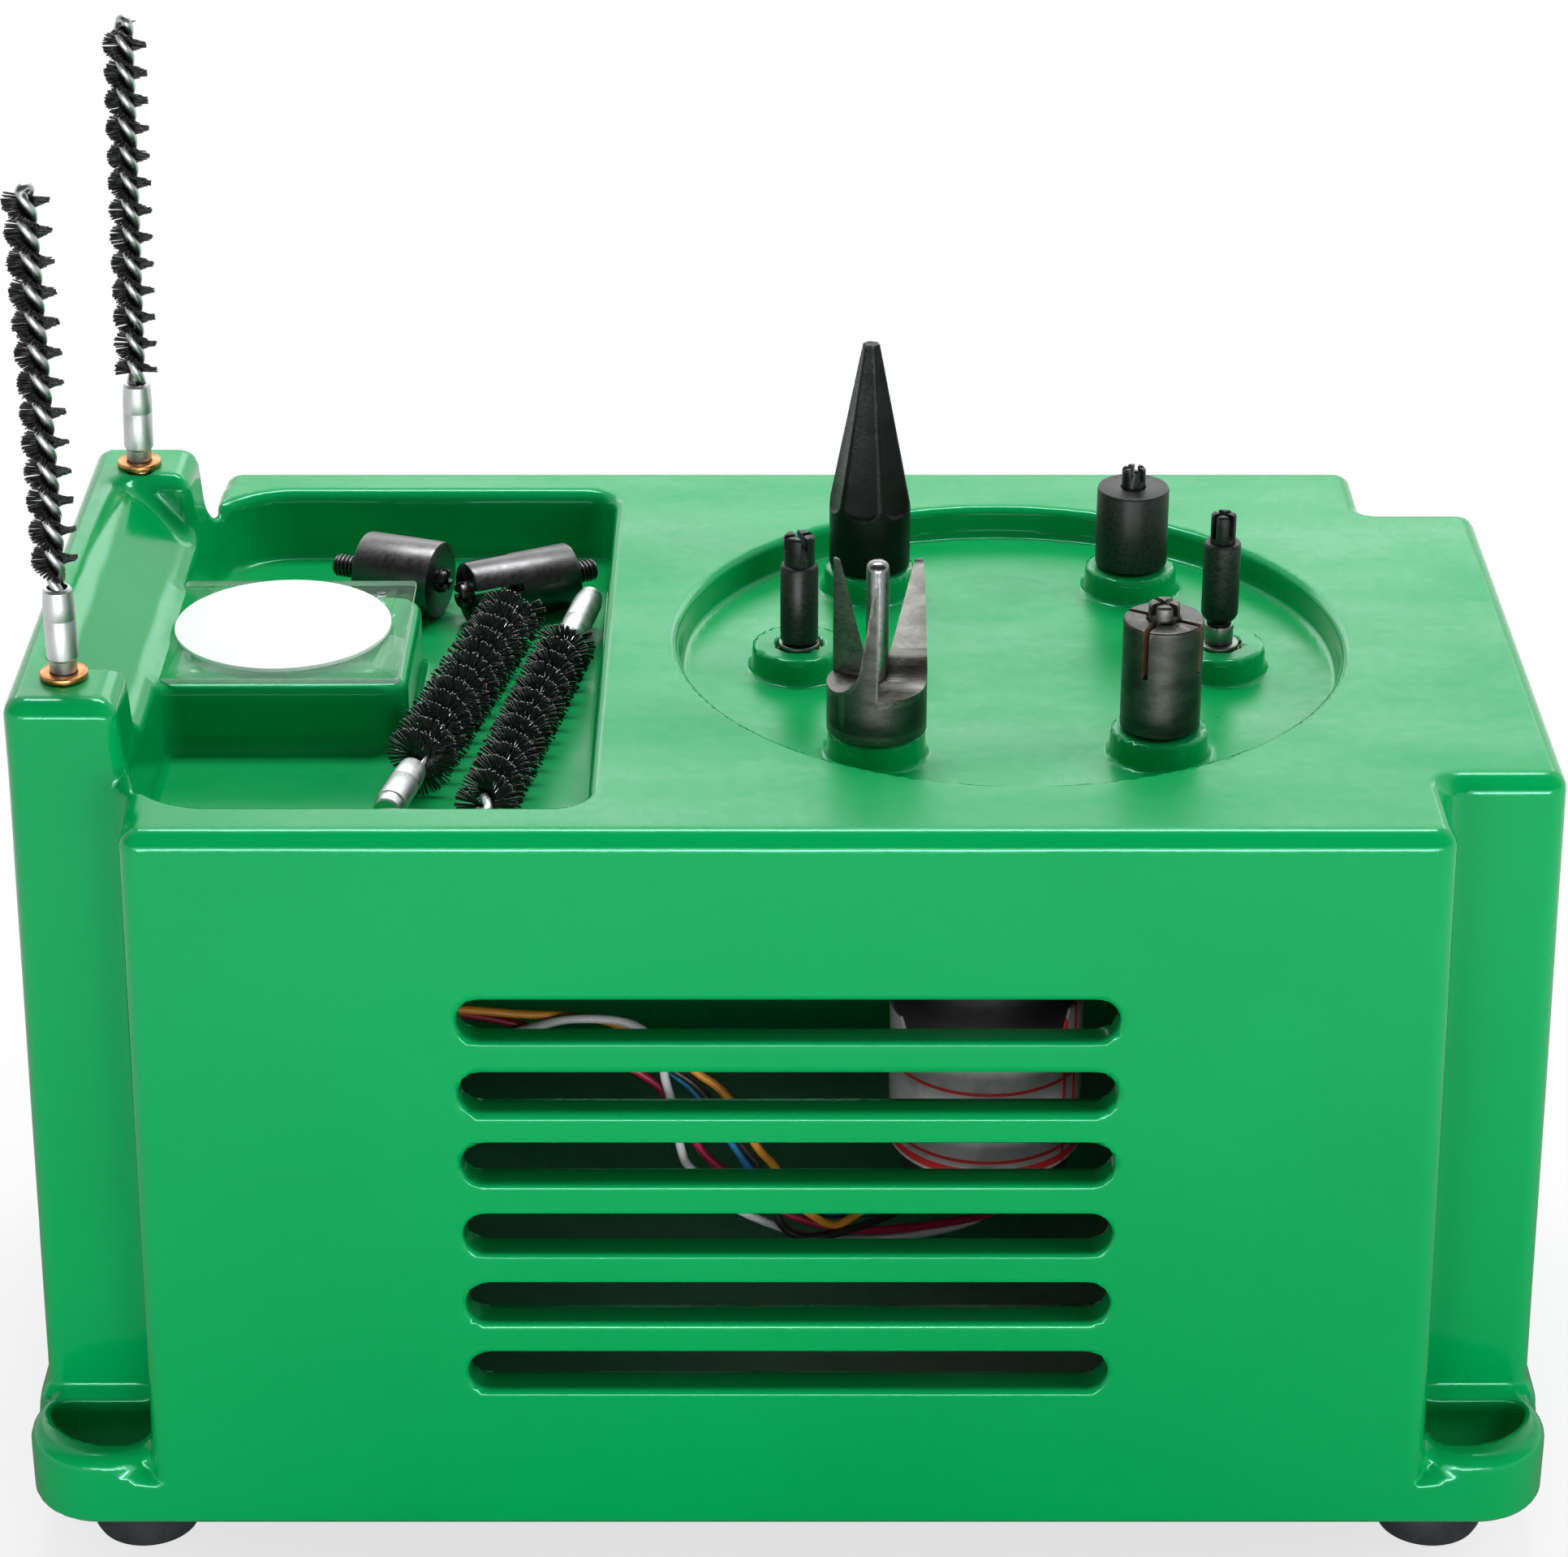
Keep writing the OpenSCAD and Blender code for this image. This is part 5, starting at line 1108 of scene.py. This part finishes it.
# Uniformer at the front right, ground, with two crossed clamping slots
rust_slot = painted("rusty_slot", (0.16, 0.075, 0.035), (0.07, 0.035, 0.02), 0.55, 0.8, metallic=0.3,
                    patch=420, grain=1500, rub=0.2, bump=0.8, depth=0.0001)
at = spindle_frame("fr")
piece = turned("uniformer_ground", [(0, -9), (STUD_R, -9), (STUD_R, 0), (6.1, 0), (6.5, 0.2), (6.8, 0.6),
                                    (6.8, 19.5), (6.6, 19.9), (6.3, 20.0), (3.1, 20.0), (2.75, 19.7),
                                    (2.75, 11.0), (0, 11.0)], ground_steel, None, at, sides=96)
piece.data.materials.append(rust_slot)
CLAMP_TURNS, CLAMP_HALF = (60, 150), 0.55
cut_by(piece, [((-9, -CLAMP_HALF, 11.2), (9, CLAMP_HALF, 22), at @ about("Z", a))
               for a in CLAMP_TURNS])
work = bmesh.new()
work.from_mesh(piece.data)
in_rings(work, np.arange(144.0, 161.8, 0.9))
work.to_mesh(piece.data)
work.free()
inward = at.inverted()
for face in piece.data.polygons:
    spot = inward @ (face.center * 1000)
    for a in CLAMP_TURNS:
        beside = abs(abs((about("Z", -a) @ spot).y) - CLAMP_HALF) < 0.02
        across = abs((about("Z", -a) @ face.normal).y) > 0.99
        if beside and across and 11.1 < spot.z < 19.95:
            face.material_index = 1
broken_edges(piece, 0.10)


def true_wall(thing, at, radius):
    """Shades a cut cylinder's wall as one true round, whatever was milled out of it."""
    back = at.inverted()
    shades = [Vector(corner.vector) for corner in thing.data.corner_normals]
    for face in thing.data.polygons:
        spot = back @ (face.center * 1000)
        out = at.to_3x3() @ Vector((spot.x, spot.y, 0))
        rims = [(back @ (thing.data.vertices[v].co * 1000)).xy.length for v in face.vertices]
        if min(rims) > radius - 0.04 and face.normal.dot(out.normalized()) > 0.9:
            for corner in face.loop_indices:
                rim = back @ (thing.data.vertices[thing.data.loops[corner].vertex_index].co * 1000)
                shades[corner] = (at.to_3x3() @ Vector((rim.x, rim.y, 0))).normalized()
    thing.data.normals_split_custom_set(shades)


true_wall(piece, at, 6.8)
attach(piece, "spindle_fr")
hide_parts("uniformer_body_fr")
tip = toothed("uniformer_ground_teeth", spindle_frame("fr", 41, 12.5), 2.65, 10.3, 0.4, 1.15, 1.9,
              ground_steel, "spindle_fr")
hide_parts("uniformer_cutter_fr")

# Deburring crown and its pilot pin at the front left
crown = refined("deburr_crown_fl", ground_steel, 0.22, angle=30, rings=np.arange(143.6, 171.0, 0.9))
true_wall(crown, spindle_frame("fl"), 8.5)
at = spindle_frame("fl", 0, 3)
pin_steel = painted("pin_steel", (0.26, 0.265, 0.27), (0.20, 0.205, 0.21), 0.20, 0.30, metallic=1.0,
                    patch=150, grain=900, rub=0.3, bump=0.1, slot="ground_steel")
piece = turned("pilot_pin", [(0, 0), (1.95, 0), (1.95, 25.8), (1.88, 26.3), (1.72, 26.7), (1.45, 27.0),
                             (1.1, 27.22), (0.6, 27.37), (0, 27.42)], pin_steel, "spindle_fl", at)
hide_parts("deburr_pilot_fl")

# ---- Primer dish in the tray -------------------------------------------------
# A thin square of clear acrylic with polished edges lies on the pedestal, with a
# white card disc on it and a small pip near each corner.
clear_plastic = bpy.data.materials.new("clear_plastic")
clear_plastic.use_nodes = True
glass = clear_plastic.node_tree.nodes["Principled BSDF"]
glass.inputs["Base Color"].default_value = (0.93, 0.98, 0.96, 1)
glass.inputs["Roughness"].default_value = 0.03
glass.inputs["IOR"].default_value = 1.45
glass.inputs["Transmission Weight"].default_value = 1.0
sheet = clear_plastic.node_tree
sheet_at = added(sheet, "ShaderNodeTexCoord").outputs["Object"]
scratch = added(sheet, "ShaderNodeTexNoise", {"Vector": sheet_at, "Scale": 220.0}).outputs["Fac"]
sheet_bump = added(sheet, "ShaderNodeBump", {"Strength": 0.03, "Distance": 0.00005, "Height": scratch})
sheet.links.new(sheet_bump.outputs["Normal"], glass.inputs["Normal"])


def partly_clear(tree, share, color=(1, 1, 1, 1)):
    """Lets this share of the light through a material's own surface."""
    clear = added(tree, "ShaderNodeBsdfTransparent", {"Color": color})
    mix = added(tree, "ShaderNodeMixShader", {"Fac": share, 1: tree.nodes["Principled BSDF"].outputs[0],
                                              2: clear.outputs[0]})
    tree.links.new(mix.outputs[0], tree.nodes["Material Output"].inputs["Surface"])


# Light passes the thin sheet, so it leaves no dark shadow on the pedestal
passing = added(sheet, "ShaderNodeLightPath").outputs
seen_part = calc(sheet, "MULTIPLY_ADD", passing["Is Camera Ray"], 0.80, passing["Is Diffuse Ray"])
partly_clear(sheet, calc(sheet, "MAXIMUM", passing["Is Shadow Ray"], seen_part), (0.93, 0.98, 0.96, 1))
# The sheet's polished side faces are coloured pale as a painted highlight of the light along its edges.
cut_edge = painted("cut_edge", (0.80, 0.90, 0.86), (0.66, 0.80, 0.74), 0.25, 0.45, patch=500, grain=1400,
                   rub=0.0, corner_shade=0.0, bump=0.5)
clear_plastic["slot"] = "clear_plastic"
plate = refined("dish_plate", clear_plastic, 0.08)
plate.data.materials.append(cut_edge)
for face in plate.data.polygons:
    if abs(face.normal.z) < 0.9 and face.center.z < 0.14366:
        face.material_index = 1
white_card = painted("white_card", (0.93, 0.93, 0.95), (0.90, 0.90, 0.92), 0.5, 0.65, patch=60, grain=1800,
                     rub=0.0, corner_shade=0.0, bump=0.15)
refined("dish_disc", white_card, 0.12)
# Card is thin enough to let some of the light through to the sheet below it
card_tree = white_card.node_tree
card_shadow = added(card_tree, "ShaderNodeLightPath").outputs["Is Shadow Ray"]
partly_clear(card_tree, calc(card_tree, "MULTIPLY", card_shadow, 0.6))

# ---- Loose brushes -----------------------------------------------------------
# Two larger brushes lie beside the dish, each on its side. Their bristles stand
# in open rows, their cut ends coloured pale grey as painted glints, and their
# ferrules have no stud.
loose = {"a": ((-66.61, -55.4, 136.71), (-49.92, 26.0, 136.71), 16.0, 6.45, 11),
         "b": ((-36.415, 34.0, 135.79), (-50.726, -54.0, 135.79), 19.0, 5.54, 12)}
for key, (start, end, barrel, reach, seed) in loose.items():
    along = Vector(end) - Vector(start)
    body = "loose_brush_" + key
    axis = brush_frame(start, along)
    ferrule(body + "_crimped_ferrule", axis, barrel, body, body + "_ferrule", threaded=False)
    twisted_brush(body + "_twist", axis, barrel + 1.6, along.length - 1.0, 10.8, reach, 1150, 0.09, 0.03,
                  0.12, seed, 0.165, body, body, painted_tip_glint)


# ---- Loose tools -------------------------------------------------------------
# Two spare uniformers of gun-metal finish lie behind the dish, each on its body
# and its threaded stud.
gun_metal = painted("gun_metal", (0.115, 0.115, 0.118), (0.085, 0.085, 0.088), 0.30, 0.42, metallic=1.0,
                    patch=90, grain=1100, rub=0.5, rub_color=(0.34, 0.34, 0.34), bump=0.3,
                    slot="black_oxide_steel")


def threaded_stud(name, at, root, crest, length, pitch, paint, body):
    """A stud with a real screw thread: rings of points that climb one pitch a turn."""
    sides = 40
    rows = int(length / pitch * 8) + 1
    spots = []
    for k in range(rows):
        for i in range(sides):
            z = min(k * pitch / 8, length)
            phase = (z / pitch - i / sides) % 1.0
            tooth = 1 - abs(2 * phase - 1)
            fade = min(1.0, z / 0.8, (length - z) / 0.8 + 0.2)
            r = root + (crest - root) * min(1, max(0, (tooth - 0.2) * 1.9)) * fade
            a = 2 * math.pi * i / sides
            spots.append((r * math.cos(a), r * math.sin(a), z))
    faces = [(k * sides + i, k * sides + (i + 1) % sides, (k + 1) * sides + (i + 1) % sides,
              (k + 1) * sides + i) for k in range(rows - 1) for i in range(sides)]
    faces.append(tuple(reversed(range(sides))))
    faces.append(tuple(range((rows - 1) * sides, rows * sides)))
    mesh = bpy.data.meshes.new(name)
    mesh.from_pydata(spun(spots, at).tolist(), [], faces)
    shaded(mesh, 50)
    mesh.materials.append(paint)
    stud = linked(name, mesh)
    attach(stud, body)


for key, at_x, at_y, r, angle, length, stud_len, tip_r, tip_len in (
        ("a", -78.5, 43.4, 7.15, -19.9, 15.2, 6.2, 2.2, 1.5),
        ("b", -40.6, 43.6, 6.0, 207.0, 20.8, 5.0, 2.5, 1.8)):
    body = "loose_tool_" + key
    lie = Matrix.Translation((at_x, at_y, TRAY_Z + r + 0.05)) @ about("Z", angle)
    lie = lie @ about("Y", 90)
    spare = turned(body + "_barrel", [(0, 0), (r - 0.6, 0), (r - 0.15, 0.15), (r, 0.6), (r, length - 0.6),
                                      (r - 0.15, length - 0.15), (r - 0.6, length), (tip_r + 0.2, length),
                                      (tip_r + 0.05, length - 0.3), (0, length - 0.3)], gun_metal, None,
                   lie, sides=96)
    if key == "b":
        spare.data.materials.append(rust_slot)
        cut_by(spare, [((-8, -0.7, length - 9), (8, 0.7, length + 2),
                        lie @ about("Z", a)) for a in (20, 110)])
        broken_edges(spare, 0.1)
    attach(spare, body)
    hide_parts(body)
    toothed(body + "_teeth", lie @ Matrix.Translation((0, 0, length)), tip_r, tip_len, 0.6, 1.0, 1.2,
            gun_metal, body)
    down = lie @ about("Y", 180)
    threaded_stud(body + "_stud", down, 1.62, 2.08, stud_len, 0.79, gun_metal, body)

# ---- Switch and cord inlet ---------------------------------------------------
# A black rocker switch sits in a rim on the right side; the cord's strain relief
# is moulded black and seats in the back.
refined("switch_body", black_plastic, 0.4)
refined("switch_rocker", black_plastic, 0.5)
refined("cord_inlet", black_plastic, 0.3)
